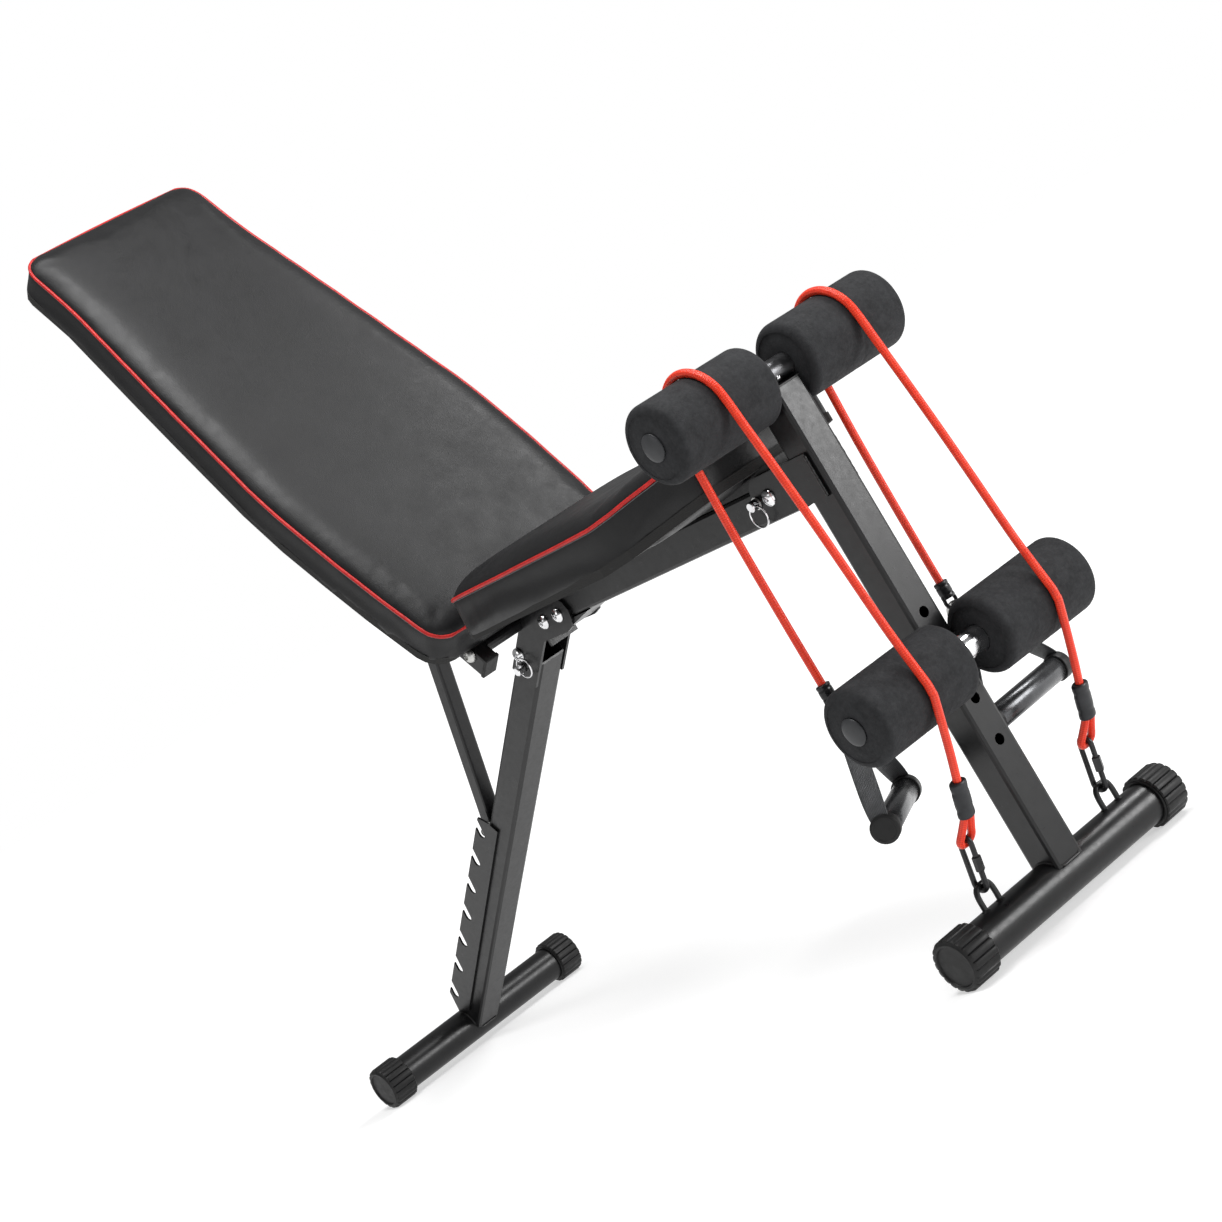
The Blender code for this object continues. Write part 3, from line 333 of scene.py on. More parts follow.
def loft(rings, closed=False):
    """Skin a row of equal rings; its ends are closed unless it runs round."""
    bm = bmesh.new()
    rows = [[bm.verts.new(point) for point in ring] for ring in rings]
    count = len(rows[0])
    pairs = list(zip(rows, rows[1:]))
    if closed:
        pairs.append((rows[-1], rows[0]))
    for one, two in pairs:
        for i in range(count):
            j = (i + 1) % count
            bm.faces.new((one[i], one[j], two[j], two[i]))
    if not closed:
        bm.faces.new(rows[0])
        bm.faces.new(rows[-1])
    return bm


def turned(profile, segments=48, closed=False):
    """Spin a profile of (radius, y) points about the Y axis; a radius of 0 is a pole."""
    bm = bmesh.new()
    verts = [bm.verts.new((radius, y, 0.0)) for radius, y in profile]
    edges = [bm.edges.new((a, b)) for a, b in zip(verts, verts[1:])]
    if closed:
        edges.append(bm.edges.new((verts[-1], verts[0])))
    bmesh.ops.spin(bm, geom=verts + edges, cent=(0, 0, 0), axis=(0, 1, 0), angle=2 * math.pi,
                   steps=segments, use_merge=True)
    bmesh.ops.remove_doubles(bm, verts=bm.verts, dist=0.00001)
    return bm


def moved(bm, x=0.0, y=0.0, z=0.0):
    """The same bmesh, shifted."""
    bmesh.ops.translate(bm, verts=bm.verts, vec=(x, y, z))
    return bm


def joined(*meshes):
    """Several bmeshes as one."""
    whole = bmesh.new()
    for bm in meshes:
        holder = bpy.data.meshes.new("joining")
        bm.to_mesh(holder)
        bm.free()
        whole.from_mesh(holder)
        bpy.data.meshes.remove(holder)
    return whole


def mirrored(profile, side):
    """A (radius, y) profile for the left side (1) or the right (-1)."""
    return [(radius, side * y) for radius, y in profile]


def swept(points, section, closed=False):
    """Sweep a section of (a, b) offsets along the points, with along/around coordinates in a UV map.

    U is the length travelled in metres, V runs from 0 to 1 round the section.
    """
    path = [Vector(p) for p in points]
    count = len(path)
    rings = []
    travelled = [0.0]
    across = None
    for i, point in enumerate(path):
        before = path[i - 1] if (i or closed) else point
        after = path[(i + 1) % count] if (closed or i + 1 < count) else point
        tangent = (after - before).normalized()
        if across is None:
            across = tangent.cross(Vector((0, 1, 0)))
            if across.length < 0.1:
                across = tangent.cross(Vector((1, 0, 0)))
        across = (across - tangent * across.dot(tangent)).normalized()
        other = tangent.cross(across)
        shape = section(i / (count - 1)) if callable(section) else section
        rings.append([point + across * a + other * b for a, b in shape])
        if i:
            travelled.append(travelled[-1] + (point - path[i - 1]).length)
    bm = loft(rings, closed)
    layer = bm.loops.layers.uv.new("along")
    sides = len(rings[0])
    bm.verts.index_update()
    for face in bm.faces:
        rows = [loop.vert.index // sides for loop in face.loops]
        wraps = closed and max(rows) == count - 1 and min(rows) == 0
        columns = [loop.vert.index % sides for loop in face.loops]
        seam = max(columns) == sides - 1 and min(columns) == 0
        for loop, row, column in zip(face.loops, rows, columns):
            u = travelled[-1] + (path[0] - path[-1]).length if (wraps and row == 0) else travelled[row]
            loop[layer].uv = (u, (column + (sides if seam and column == 0 else 0)) / sides)
    return bm


def round_section(radius, sides=16):
    """Circle of (a, b) offsets."""
    return [(radius * math.cos(2 * math.pi * i / sides), radius * math.sin(2 * math.pi * i / sides))
            for i in range(sides)]


# -------- ropes and what is on them
EYE_HALF = 0.0085
STAPLE_R = 0.003
STAPLE_BAR = (0.6000, 0.0745)
LINK_R = 0.0025
LINK_HALF = 0.0075
LINK_LONG = 0.0577
LINK_LEAN = math.radians(16)
FRONT_EYE_GRIP = (0.6360, 0.1430)
FRONT_EYE_TOP = (0.6500, 0.1785)
FERRULE_LONG = 0.018
SLEEVE_UP = 0.0105
GAP = 0.0003
REAR_LOOP_R = 0.002
REAR_LOOP_HALF = 0.0074
REAR_LOOP_TOP = 0.0145
FRONT_FERRULE = (0.0098, 0.0072)    # half width and half depth
REAR_FERRULE = (0.0080, 0.0068)
FERRULE_MOUTH = 0.84    # a ferrule's ends, as a share of its full size
CRIMPS = 2
CRIMP_DEPTH = 0.055
STAPLE_LEG = 0.011
# (radius, height) round a staple's leg
STAPLE_FILLET = ((0.0028, 0.0), (0.0052, 0.0), (0.0046, 0.0011), (0.0032, 0.0019), (0.0028, 0.0019))


def rope_route(end_z):
    """Centre line (x, z) from the front ferrule up over the roller and down to the rear ferrule."""
    cx, cz = UPPER_ROLLER
    lx, lz = LOWER_ROLLER
    rise = (Vector(FRONT_EYE_TOP) - Vector(FRONT_EYE_GRIP)).normalized()
    points = [tuple(Vector(FRONT_EYE_TOP) + rise * GAP), (0.6628, 0.2070)]
    points += arc((lx, lz), ROPE_WRAP_R, -18, 12, 3)
    points += [(0.6760, 0.3330), (0.6698, 0.3940), (0.6635, 0.4550), (0.6560, 0.5150), (0.6490, 0.5650)]
    points += arc((cx, cz), ROPE_WRAP_R, 6, 180, 8)
    points += [(0.5527, 0.5450), (0.5500, 0.4950), (0.5485, 0.4450), (0.5478, 0.3950), (REAR_X, 0.3550)]
    points += [(REAR_X, end_z)]
    return points


def ferrule(low, top, wide, deep):
    """Oval crimped sleeve between two (x, z) points, with shallow crimp bands and eased ends."""
    a, b = Vector((low[0], 0, low[1])), Vector((top[0], 0, top[1]))
    across = Vector(((b - a).normalized().z, 0, -(b - a).normalized().x))
    rings = []
    reads, sides = 40, 28
    eased = 0.05            # share of the length over which an end is rounded
    for i in range(reads + 1):
        part = i / reads
        ease = min(1.0, FERRULE_MOUTH + (1 - FERRULE_MOUTH) * math.sqrt(min(part, 1 - part) / eased))
        crimp = 1.0 - CRIMP_DEPTH * max(0.0, math.sin(math.pi * (part * CRIMPS * 2 - 0.5))) ** 3
        size = ease * crimp
        centre = a.lerp(b, part)
        side_reach = Vector((0, 1, 0)) * wide * size
        deep_reach = across * deep * size
        rings.append([centre + side_reach * math.cos(t) + deep_reach * math.sin(t)
                      for t in [2 * math.pi * k / sides for k in range(sides)]])
    return loft(rings)


LINK_FULL, LINK_SWELL = 1.12, 0.35


def link_section(part):
    """The quick link is thicker round its lower end."""
    return round_section(LINK_R * (LINK_FULL + LINK_SWELL * max(0.0, -math.sin(2 * math.pi * part))), 14)


def rope_side(word, side):
    """One elastic rope with its eyes, its quick link and the staple on the foot."""
    y = side * ROPE_Y
    place = UPRIGHT @ Matrix.Translation((0, y, 0))
    # the rope itself, from the front ferrule to the rear one
    sleeve_low = REAR_EYE_Z[word] + SLEEVE_UP
    end_z = sleeve_low + FERRULE_LONG + GAP
    knots = smooth_route([(x, 0, z) for x, z in rope_route(end_z)], 2)
    line = smooth_route(knots, 3)
    rope = piece("elastic_rope_" + word, swept(line, round_section(ROPE_D / 2, 20)), ROPE_RED, "front_post",
                 place, ["rope_" + word])
    # front eye: a loop of the same rope, closed by a ferrule
    clearance = 0.0006
    reach = LINK_LONG - LINK_R - ROPE_D / 2 - clearance
    sunk = LINK_R + GAP + STAPLE_R
    link_foot = Vector((STAPLE_BAR[0] - sunk * math.sin(LINK_LEAN), 0,
                        STAPLE_BAR[1] - sunk * math.cos(LINK_LEAN)))
    lean = Vector((math.sin(LINK_LEAN), 0, math.cos(LINK_LEAN)))
    low = link_foot + lean * reach
    grip = Vector((FRONT_EYE_GRIP[0], 0, FRONT_EYE_GRIP[1]))
    rise = (grip - low).normalized()
    height = (grip - low).length
    neck, throat, shoulder = 0.0046, 0.0050, 0.0072     # half widths of the loop, from the ferrule down
    half = [(neck, height + 0.004), (throat, height - 0.004), (shoulder, EYE_HALF + 0.008)]
    loop = half + arc((0, EYE_HALF), EYE_HALF, 0, -180, 6) + [(-a, b) for a, b in reversed(half)]
    loop_line = smooth_route([low + Vector((0, a, 0)) + rise * b for a, b in loop], 4)
    eye = piece("rope_loop_" + word, swept(loop_line, round_section(ROPE_D / 2 - 0.0002)), ROPE_RED,
                "front_post", place, ["front_rope_eye_" + word])
    clamp = piece("rope_clamp_front_" + word, ferrule(FRONT_EYE_GRIP, FRONT_EYE_TOP, *FRONT_FERRULE),
                  CRIMP, "front_post", place)
    # rear eye: ferrule with a steel hoop under it
    bar = REAR_EYE_Z[word]
    hoop_end = REAR_LOOP_HALF - 0.001
    hoop = [(hoop_end, REAR_LOOP_TOP)] + arc((0, REAR_LOOP_HALF), REAR_LOOP_HALF, 0, -180, 24)
    hoop += [(-hoop_end, REAR_LOOP_TOP)]
    sleeve = ferrule((REAR_X, sleeve_low), (REAR_X, sleeve_low + FERRULE_LONG), *REAR_FERRULE)
    hoop_wire = swept([(REAR_X, a, bar + b) for a, b in hoop], round_section(REAR_LOOP_R, 12))
    rear = piece("rope_clamp_rear_" + word, joined(sleeve, hoop_wire), CHAIN, "front_post", place,
                 ["rear_rope_eye_" + word])
    # quick link with its closing sleeve, and the staple it hangs in
    link_line = arc((0, LINK_LONG - LINK_HALF), LINK_HALF, 0, 180, 16)
    link_line += arc((0, LINK_HALF), LINK_HALF, 180, 360, 16)
    link_place = place @ Matrix.Translation(link_foot) @ Matrix.Rotation(LINK_LEAN, 4, "Y")
    link = swept([(a, 0, b) for a, b in link_line], link_section, True)
    nut_low, nut_high, nut_r, nut_ease = 0.0215, 0.0375, 0.0047, 0.0008
    nut_end_r = nut_r * 0.86
    nut = loft([[(LINK_HALF + a, b, z) for a, b in round_section(r, 6)]
                for z, r in ((nut_low, nut_end_r), (nut_low + nut_ease, nut_r), (nut_high - nut_ease, nut_r),
                             (nut_high, nut_end_r))])
    piece("quick_link_" + word, joined(link, nut), CHAIN, "front_post", link_place,
          ["chain_link_" + word], 30)
    foot_top = FOOT_CAP_R + FOOT_R - 0.0008
    arch = [(-STAPLE_LEG, foot_top), (-STAPLE_LEG, 0.0630), (-0.0095, 0.0700), (-0.0058, 0.0738),
            (0.0, STAPLE_BAR[1])]
    arch += [(-a, b) for a, b in reversed(arch[:-1])]
    staple = swept(smooth_route([(STAPLE_BAR[0], a, b) for a, b in arch], 4), round_section(STAPLE_R))
    welds = []
    for end in (-STAPLE_LEG, STAPLE_LEG):
        fillet = turned(STAPLE_FILLET, 24)
        bmesh.ops.rotate(fillet, verts=fillet.verts, cent=(0, 0, 0),
                         matrix=Matrix.Rotation(math.pi / 2, 3, "X"))
        welds.append(moved(fillet, STAPLE_BAR[0], end, foot_top))
    piece("staple_" + word, joined(staple, *welds), STEEL, "front_post", place,
          ["foot_staple_" + word])


for word, side in SIDES:
    rope_side(word, side)


# -------- cushions
SEAT_WIDTHS = ((0.108, 0.145), (0.260, 0.148), (0.420, 0.146), (0.545, 0.095))
SEAT_BASE = 0.4978
SEAT_PIPING = 0.5495
SEAT_CROWN = 0.5635
SEAT_BEND_X = 0.415
SEAT_BEND = math.tan(math.radians(7.5))
SEAT_CORNER = 0.012
BACK_WIDTHS = ((-0.753, 0.134), (-0.650, 0.1345), (-0.480, 0.150), (-0.270, 0.1665), (-0.120, 0.1620),
               (0.003, 0.152))
BACK_BASE = 0.0090
BACK_PIPING = 0.0547
BACK_CROWN = 0.0657
BACK_CORNER = 0.033

COVER_SMALL = 0.0030    # how much smaller than its outline a cover starts, before it is filled out
COVER_VOXEL = 0.005
COVER_PRESSURE = 4.0
COVER_STIFFNESS = 15.0
COVER_FRAMES = 20
COVER_HELD = 0.004      # the underside and this much of the walls are held
# piping and, lower down, a thin light grey line of painted highlight: suffix, drop, radius, how far out,
# material, slot
TRIMS = (("piping", 0.0, 0.0021, 0.0008, PIPING_RED, "rope"),
         ("seam", 0.0046, 0.0006, 0.0001, PAINTED_HIGHLIGHT_GREY, "webbing"))
EASE_RUN = 0.036        # length on either side over which a bend in a cushion's outline is eased
EASE_READS = 4


def straight_width(table, x):
    """Half width between the table's stations; past either end the nearest stretch runs on."""
    for (x0, w0), (x1, w1) in zip(table, table[1:]):
        if x <= x1:
            break
    return w0 + (w1 - w0) * (x - x0) / (x1 - x0)


def width_at(table, x):
    """The same, averaged over a short run, so that the side has no kinks."""
    reads = [x + EASE_RUN * i / EASE_READS for i in range(-EASE_READS, EASE_READS + 1)]
    return sum(straight_width(table, read) for read in reads) / len(reads)


def plan(table, corner, inset, reads=64, corner_reads=8):
    """(x, half width) stations of a cushion's outline, with rounded corners, drawn in by inset."""
    first, last = table[0][0] + inset, table[-1][0] - inset
    radius = corner - inset
    stations = []
    for i in range(corner_reads):
        angle = math.pi / 2 * i / corner_reads
        x = first + radius * (1 - math.cos(angle))
        stations.append((x, width_at(table, x) - inset - radius * (1 - math.sin(angle))))
    for i in range(reads + 1):
        x = first + radius + (last - first - 2 * radius) * i / reads
        stations.append((x, width_at(table, x) - inset))
    for i in range(1, corner_reads + 1):
        angle = math.pi / 2 * i / corner_reads
        x = last - radius + radius * math.sin(angle)
        stations.append((x, width_at(table, x) - inset - radius * (1 - math.cos(angle))))
    return stations


RIM_RUN = 0.016         # rounded rim just inside the piping
RIM_SHARE = 0.70
CROWN_RUN = 0.075       # distance from the edge over which the top rises to its full height


def swell(edge):
    """Share of the full crown at that distance from an edge."""
    rim = 1 - (1 - min(1.0, max(0.0, edge) / RIM_RUN)) ** 2
    slow = 1 - (1 - min(1.0, max(0.0, edge) / CROWN_RUN)) ** 2
    return RIM_SHARE * rim + (1 - RIM_SHARE) * slow


def cushion_start(table, corner, inset, base, piping, crown, rise, crease):
    """Closed block, a little small, with straight walls and a crowned top, for the cloth to fill out."""
    columns = 28
    stations = plan(table, corner, inset)
    first, last = stations[0][0], stations[-1][0]
    rings = []
    for x, w in stations:
        lift = rise(x)
        ring = [(x, -w + 2 * w * i / columns, base + lift) for i in range(columns + 1)]
        for i in range(columns + 1):
            y = w - 2 * w * i / columns
            part = swell(w - abs(y)) * swell(min(x - first, last - x))
            ring.append((x, y, piping - inset * 0.5 + (crown - piping) * part + lift - crease(x, y)))
        rings.append(ring)
    return loft(rings)


def applied(obj):
    """Apply every modifier of the piece."""
    bpy.context.view_layer.update()
    mesh = bpy.data.meshes.new_from_object(obj.evaluated_get(bpy.context.evaluated_depsgraph_get()))
    obj.modifiers.clear()
    obj.data = mesh


def fill_out(obj, base, place, cap):
    """Remesh, let cloth pressure fill the cover while its underside is held, cap the travel and apply it."""
    remesh = obj.modifiers.new("even", "REMESH")
    remesh.mode = "VOXEL"
    remesh.voxel_size = COVER_VOXEL
    applied(obj)
    local = place.inverted()
    low = [v.index for v in obj.data.vertices if (local @ v.co).z < base + COVER_HELD]
    obj.vertex_groups.new(name="held").add(low, 1.0, "REPLACE")
    rest = [v.co.copy() for v in obj.data.vertices]
    cloth = obj.modifiers.new("cover", "CLOTH")
    cloth.settings.use_pressure = True
    cloth.settings.uniform_pressure_force = COVER_PRESSURE
    cloth.settings.effector_weights.gravity = 0.0
    cloth.settings.vertex_group_mass = "held"
    cloth.settings.quality = 5
    cloth.settings.tension_stiffness = COVER_STIFFNESS
    cloth.settings.compression_stiffness = COVER_STIFFNESS
    cloth.point_cache.frame_start = 1
    cloth.point_cache.frame_end = COVER_FRAMES
    scene = bpy.context.scene
    for number in range(1, COVER_FRAMES + 1):
        scene.frame_set(number)
    swollen = bpy.data.meshes.new_from_object(obj.evaluated_get(bpy.context.evaluated_depsgraph_get()))
    obj.modifiers.clear()
    for before, vert in zip(rest, swollen.vertices):
        travel = vert.co - before
        if travel.length > cap:
            vert.co = before + travel.normalized() * cap
    obj.data = swollen
    scene.frame_set(1)


def cushion(name, body, node_name, table, corner, heights, place, rise, crease, cap, hollow=None):
    """A stuffed cover with its piping and, under it, a thin light grey line of painted highlight."""
    base, piping, crown = heights
    bm = cushion_start(table, corner, COVER_SMALL, base, piping, crown, rise, crease)
    obj = piece(name, bm, LEATHER, body, place, [node_name])
    world = obj.matrix_world.copy()
    obj.parent = None
    obj.matrix_world = world
    fill_out(obj, base, place, cap)
    smooth = obj.modifiers.new("soften", "SMOOTH")
    smooth.iterations = 6
    smooth.factor = 0.5
    finer = obj.modifiers.new("finer", "SUBSURF")
    finer.levels = finer.render_levels = 1
    applied(obj)
    if hollow:
        tool = piece("hollow_tool", hollow, LEATHER, body)
        cut = obj.modifiers.new("hollow", "BOOLEAN")
        cut.object = tool
        cut.solver = "EXACT"
        applied(obj)
        bpy.data.objects.remove(tool)
    obj.data.materials.clear()
    obj.data.materials.append(LEATHER)
    obj.data.shade_smooth()
    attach(obj, body)
    tree = BVHTree.FromObject(obj, bpy.context.evaluated_depsgraph_get())
    half = plan(table, corner, 0.0, 96, 10)
    ring = [(x, w) for x, w in half] + [(x, -w) for x, w in reversed(half)]
    centre_x = sum(x for x, _ in ring) / len(ring)
    straight = 0.1          # half the length over which outward is square to the cushion's middle line
    for suffix, drop, radius, out, material, slot in TRIMS:
        line = []
        for x, y in ring:
            aim = Vector((x, y, piping + rise(x) - drop))
            found = tree.find_nearest(place @ aim)[0]
            spine_x = min(max(x, centre_x - straight), centre_x + straight)
            outward = Vector((x, y, 0.0)) - Vector((spine_x, 0.0, 0.0))
            line.append(place.inverted() @ found + outward.normalized() * out)
        line = [sum((line[(i + k) % len(line)] for k in (-2, -1, 0, 1, 2)), Vector()) / 5
                for i in range(len(line))]
        piece(f"{name}_{suffix}", swept(line, round_section(radius, 12), True), material, body, place)


def seat_rise(x):
    """The seat's front third bends up, over a soft bend of its own."""
    soft = 0.03
    run = x - SEAT_BEND_X
    if run < -soft:
        return 0.0
    if run > soft:
        return run * SEAT_BEND
    return SEAT_BEND * (run + soft) ** 2 / (4 * soft)


# middle, depth and width
SEAT_CREASES = ((SEAT_BEND_X - 0.010, 0.0016, 0.006), (SEAT_BEND_X + 0.022, 0.0011, 0.005))
CREASE_FAINT = 0.35     # share of its depth that a crease has on the middle line
CREASE_FULL_Y = 0.12


def seat_crease(x, y):
    """Two soft creases across the bend."""
    share = CREASE_FAINT + (1 - CREASE_FAINT) * min(1.0, abs(y) / CREASE_FULL_Y)
    total = 0.0
    for at, depth, width in SEAT_CREASES:
        total += depth * math.exp(-((x - at) / width) ** 2) * share
    return total


TOOL_FOOT = 0.44        # both hollowing blocks start below the cushions
BEAM_END = (0.0, 0.09, 0.4984, 0.0245)    # from x, to x, top and half width of its room
WASHER = (0.5294, 0.5057)
WASHER_ROOM = 0.0095
WASHER_SPAN = (-0.0345, -0.0195)


def relief_tool():
    """The hollow under the backrest's lower end, where the beam's end passes."""
    x0, x1, top, half = BEAM_END
    corners = ((x0, TOOL_FOOT), (x1, TOOL_FOOT), (x1, top), (x0, top))
    return loft([[(x, y, z) for x, z in corners] for y in (-half, half)])


def washer_tool():
    """The hollow under the seat's front, where the front pin's washer goes when the post is folded."""
    x0, x1, top = WASHER[0] - WASHER_ROOM, WASHER[0] + WASHER_ROOM, WASHER[1] + WASHER_ROOM
    corners = ((x0, TOOL_FOOT), (x1, TOOL_FOOT), (x1, top), (x0, top))
    return loft([[(x, y, z) for x, z in corners] for y in WASHER_SPAN])


TURNED_UNDER = 0.0008   # the cover wraps the board and stops just short of its underside
SEAT_FILL = 0.0032      # furthest that the cloth may move out
BACK_FILL = 0.0028
cushion("seat_cushion", "beam", "seat_pad", SEAT_WIDTHS, SEAT_CORNER,
        (SEAT_BASE + TURNED_UNDER, SEAT_PIPING, SEAT_CROWN), UPRIGHT, seat_rise, seat_crease, SEAT_FILL,
        washer_tool())
cushion("backrest_cushion", "backrest", "backrest_pad", BACK_WIDTHS, BACK_CORNER,
        (BACK_BASE + TURNED_UNDER, BACK_PIPING, BACK_CROWN), BACK, lambda x: 0.0, lambda x, y: 0.0,
        BACK_FILL, relief_tool())


# -------- rollers
SLEEVE_R = FOAM_R + 0.0008    # a little fuller than in CAD
ROPE_DENT = 0.0005
ROPE_DENT_WIDTH = 0.0018
END_EASE = 0.0080
LIP = (0.0265, 0.0275)  # radii between which the sleeve's end face is stepped
LIP_IN, LIP_OUT = 0.0007, 0.0005
SHAFT_END = 0.1605
SHAFT_WALL = 0.0015
SLEEVE_PLAY = 0.0004
DISC_R, DISC_NECK = 0.0145, 0.0105
DISC_ROOT, DISC_BACK = 0.150, 0.1604
DOME_LOW, DOME_HIGH = 0.1616, 0.1639
SCREW_R, SCREW_RISE, SCREW_UP = 0.0036, 0.0022, 0.0127
SCREW_LEAN = math.radians(-38)


def foam_profile(bore):
    """Sleeve with a stepped, rounded end at both sides and a shallow dent where the rope bears."""
    inner, outer, shoulder = FOAM_IN + LIP_IN, FOAM_OUT - LIP_OUT, SLEEVE_R - END_EASE
    points = [(bore, FOAM_IN), (LIP[0], FOAM_IN), (LIP[1], inner), (shoulder, inner)]
    points += [(shoulder + r, FOAM_IN + END_EASE - d) for r, d in arc((0, 0), END_EASE, 90, 0, 8)]
    reads = 60
    for i in range(1, reads):
        y = FOAM_IN + END_EASE + (FOAM_OUT - FOAM_IN - 2 * END_EASE) * i / reads
        points.append((SLEEVE_R - ROPE_DENT * math.exp(-((y - ROPE_Y) / ROPE_DENT_WIDTH) ** 2), y))
    points += [(shoulder + r, FOAM_OUT - END_EASE + d) for r, d in arc((0, 0), END_EASE, 0, 90, 8)]
    return points + [(shoulder, outer), (LIP[1], outer), (LIP[0], FOAM_OUT), (bore, FOAM_OUT)]


def roller(level, centre, shaft_r, shaft_material):
    """A shaft with two foam sleeves and an end disc on each."""
    place = UPRIGHT @ Matrix.Translation((centre[0], 0, centre[1]))
    bore, end = shaft_r - SHAFT_WALL, SHAFT_END
    shaft = turned([(bore, -end), (shaft_r, -end), (shaft_r, end), (bore, end)], closed=True)
    piece(f"{level}_shaft", shaft, shaft_material, "front_post",
          place, [f"{level}_roller_shaft"])
    for word, side in SIDES:
        sleeve = turned(mirrored(foam_profile(shaft_r + SLEEVE_PLAY), side), 72, True)
        sleeve = piece(f"{level}_foam_sleeve_{word}", sleeve, FOAM, f"{level}_roller_{word}",
                       place, [f"{level}_foam_{word}"], 50)
        disc = [(0, DISC_ROOT), (DISC_NECK, DISC_ROOT), (DISC_NECK, DISC_BACK),
                (DISC_R - 0.0004, DISC_BACK), (DISC_R, DISC_BACK + 0.0005)]
        disc += [(DISC_R * math.sin(a), DOME_LOW + (DOME_HIGH - DOME_LOW) * math.cos(a))
                 for a in [math.radians(d) for d in range(90, -1, -9)]]
        piece(f"{level}_end_disc_{word}", turned(mirrored(disc, side)), DISC, "front_post",
              place, [f"{level}_roller_cap_{word}"], 25)


def shaft_screw():
    """Small domed screw through the upper shaft into the post's top."""
    dome = [(SCREW_R * math.cos(a), SCREW_RISE * math.sin(a))
            for a in [math.radians(d) for d in range(0, 91, 10)]]
    head = turned([(0.0, -0.0010), (SCREW_R, -0.0010), *dome], 32)
    out = Matrix.Rotation(-SCREW_LEAN, 4, "Y") @ Matrix.Rotation(-math.pi / 2, 4, "Z")
    place = UPRIGHT @ Matrix.Translation((UPPER_ROLLER[0], 0, UPPER_ROLLER[1])) @ out
    piece("shaft_screw", moved(head, y=SCREW_UP), CHROME, "front_post", place)


roller("upper", UPPER_ROLLER, 0.0125, SATIN)
roller("lower", LOWER_ROLLER, 0.0140, CHROME)
shaft_screw()


# -------- feet
RIBS = 20
RIB_ROUNDNESS = 0.35    # the smaller, the flatter the ribs and the narrower the grooves


def cap_ring(y, face, groove=None):
    """Ring of a foot cap: plain with one radius, or rounded ribs with narrow grooves between."""
    reads = RIBS * 8
    points = []
    for i in range(reads):
        angle = 2 * math.pi * i / reads
        wave = abs(math.cos(angle * RIBS / 2 + math.pi / 2 + RIBS * math.pi / 4))
        radius = groove + (face - groove) * wave ** RIB_ROUNDNESS if groove else face
        points.append((radius * math.cos(angle), y, radius * math.sin(angle)))
    return points


def foot(name, x, body):
    """A foot tube with its two ribbed caps."""
    place = UPRIGHT @ Matrix.Translation((x, 0, FOOT_CAP_R))
    inner, half = FOOT_R - 0.002, FOOT_CAP_OUT - 0.005
    piece(name + "_tube", turned([(inner, -half), (FOOT_R, -half), (FOOT_R, half), (inner, half)], 64, True),
          STEEL, body, place, [name])
    out, mouth = FOOT_CAP_OUT, FOOT_CAP_OUT - FOOT_CAP_LEN
    face, groove = FOOT_CAP_R, FOOT_CAP_R - 0.0021
    # (y, radius) of the plain rings and (y, radius of the ribs, radius of the grooves) of the others
    stations = [(out - 0.0045, FOOT_R + 0.0004), (mouth, FOOT_R + 0.0004), (mouth, FOOT_R + 0.0022),
                (mouth + 0.0012, FOOT_R + 0.0032), (mouth + 0.0012, face - 0.0012, groove - 0.0006),
                (mouth + 0.0026, face, groove), (out - 0.0040, face, groove),
                (out - 0.0018, face - 0.0009, groove - 0.0004), (out - 0.0010, face - 0.0036),
                (out, face - 0.0048), (out, face - 0.0068), (out - 0.0016, face - 0.0078),
                (out - 0.0016, 0.004), (out - 0.0013, 0.001)]
    for word, side in SIDES:
        rings = [cap_ring(side * y, *radii) for y, *radii in stations]
        piece(f"{name}_ribbed_cap_{word}", loft(rings), PLASTIC, body, place,
              [f"{name}_cap_{word}"], 30)


foot("front_foot", FRONT_FOOT_X, "front_post")
foot("rear_foot", REAR_FOOT_X, "rear_leg")


# -------- bolts, nuts and pull rings
CHEEK_OUT = 0.0231
HEAD_RIM = 0.0008
SOCKET_R, SOCKET_FOOT_R, SOCKET_DEEP = 0.0030, 0.0026, 0.0018
NUT_SHARE = 0.94        # across the corners, of the head's radius
PULL_RING_Y = -0.0290
PULL_RING_R = 0.0120
PULL_RING_WIRE = 0.0010


def button_bolt(name, x, z, radius, head_r, head_h, half, body, slot, material, replaces):
    """Through bolt along Y: domed head with a socket on -Y, hexagon nut with a bolt end on +Y."""
    dome = [(head_r * math.cos(a), -half - HEAD_RIM - (head_h - HEAD_RIM) * math.sin(a))
            for a in [math.radians(d) for d in range(0, 71, 10)]]
    top, socket = -half - head_h, -half - head_h + SOCKET_DEEP
    shank = turned([(radius, half), (radius, -half), (head_r, -half), *dome,
                    (SOCKET_R, top), (SOCKET_FOOT_R, socket), (0.0, socket)])
    nut_r = head_r * NUT_SHARE
    nut_ease_r = nut_r * 0.9
    nut = loft([[(r * math.cos(k * math.pi / 3), y, r * math.sin(k * math.pi / 3)) for k in range(6)]
                for y, r in ((half, nut_ease_r), (half + 0.0005, nut_r), (half + head_h * 0.85, nut_r),
                             (half + head_h * 0.94, nut_ease_r))])
    tip = turned([(radius, half), (radius, half + head_h * 0.98), (radius * 0.8, half + head_h),
                  (0.0, half + head_h)], 32)
    piece(name, joined(shank, nut, tip), material, body,
          UPRIGHT @ Matrix.Translation((x, 0, z)), replaces, 30)


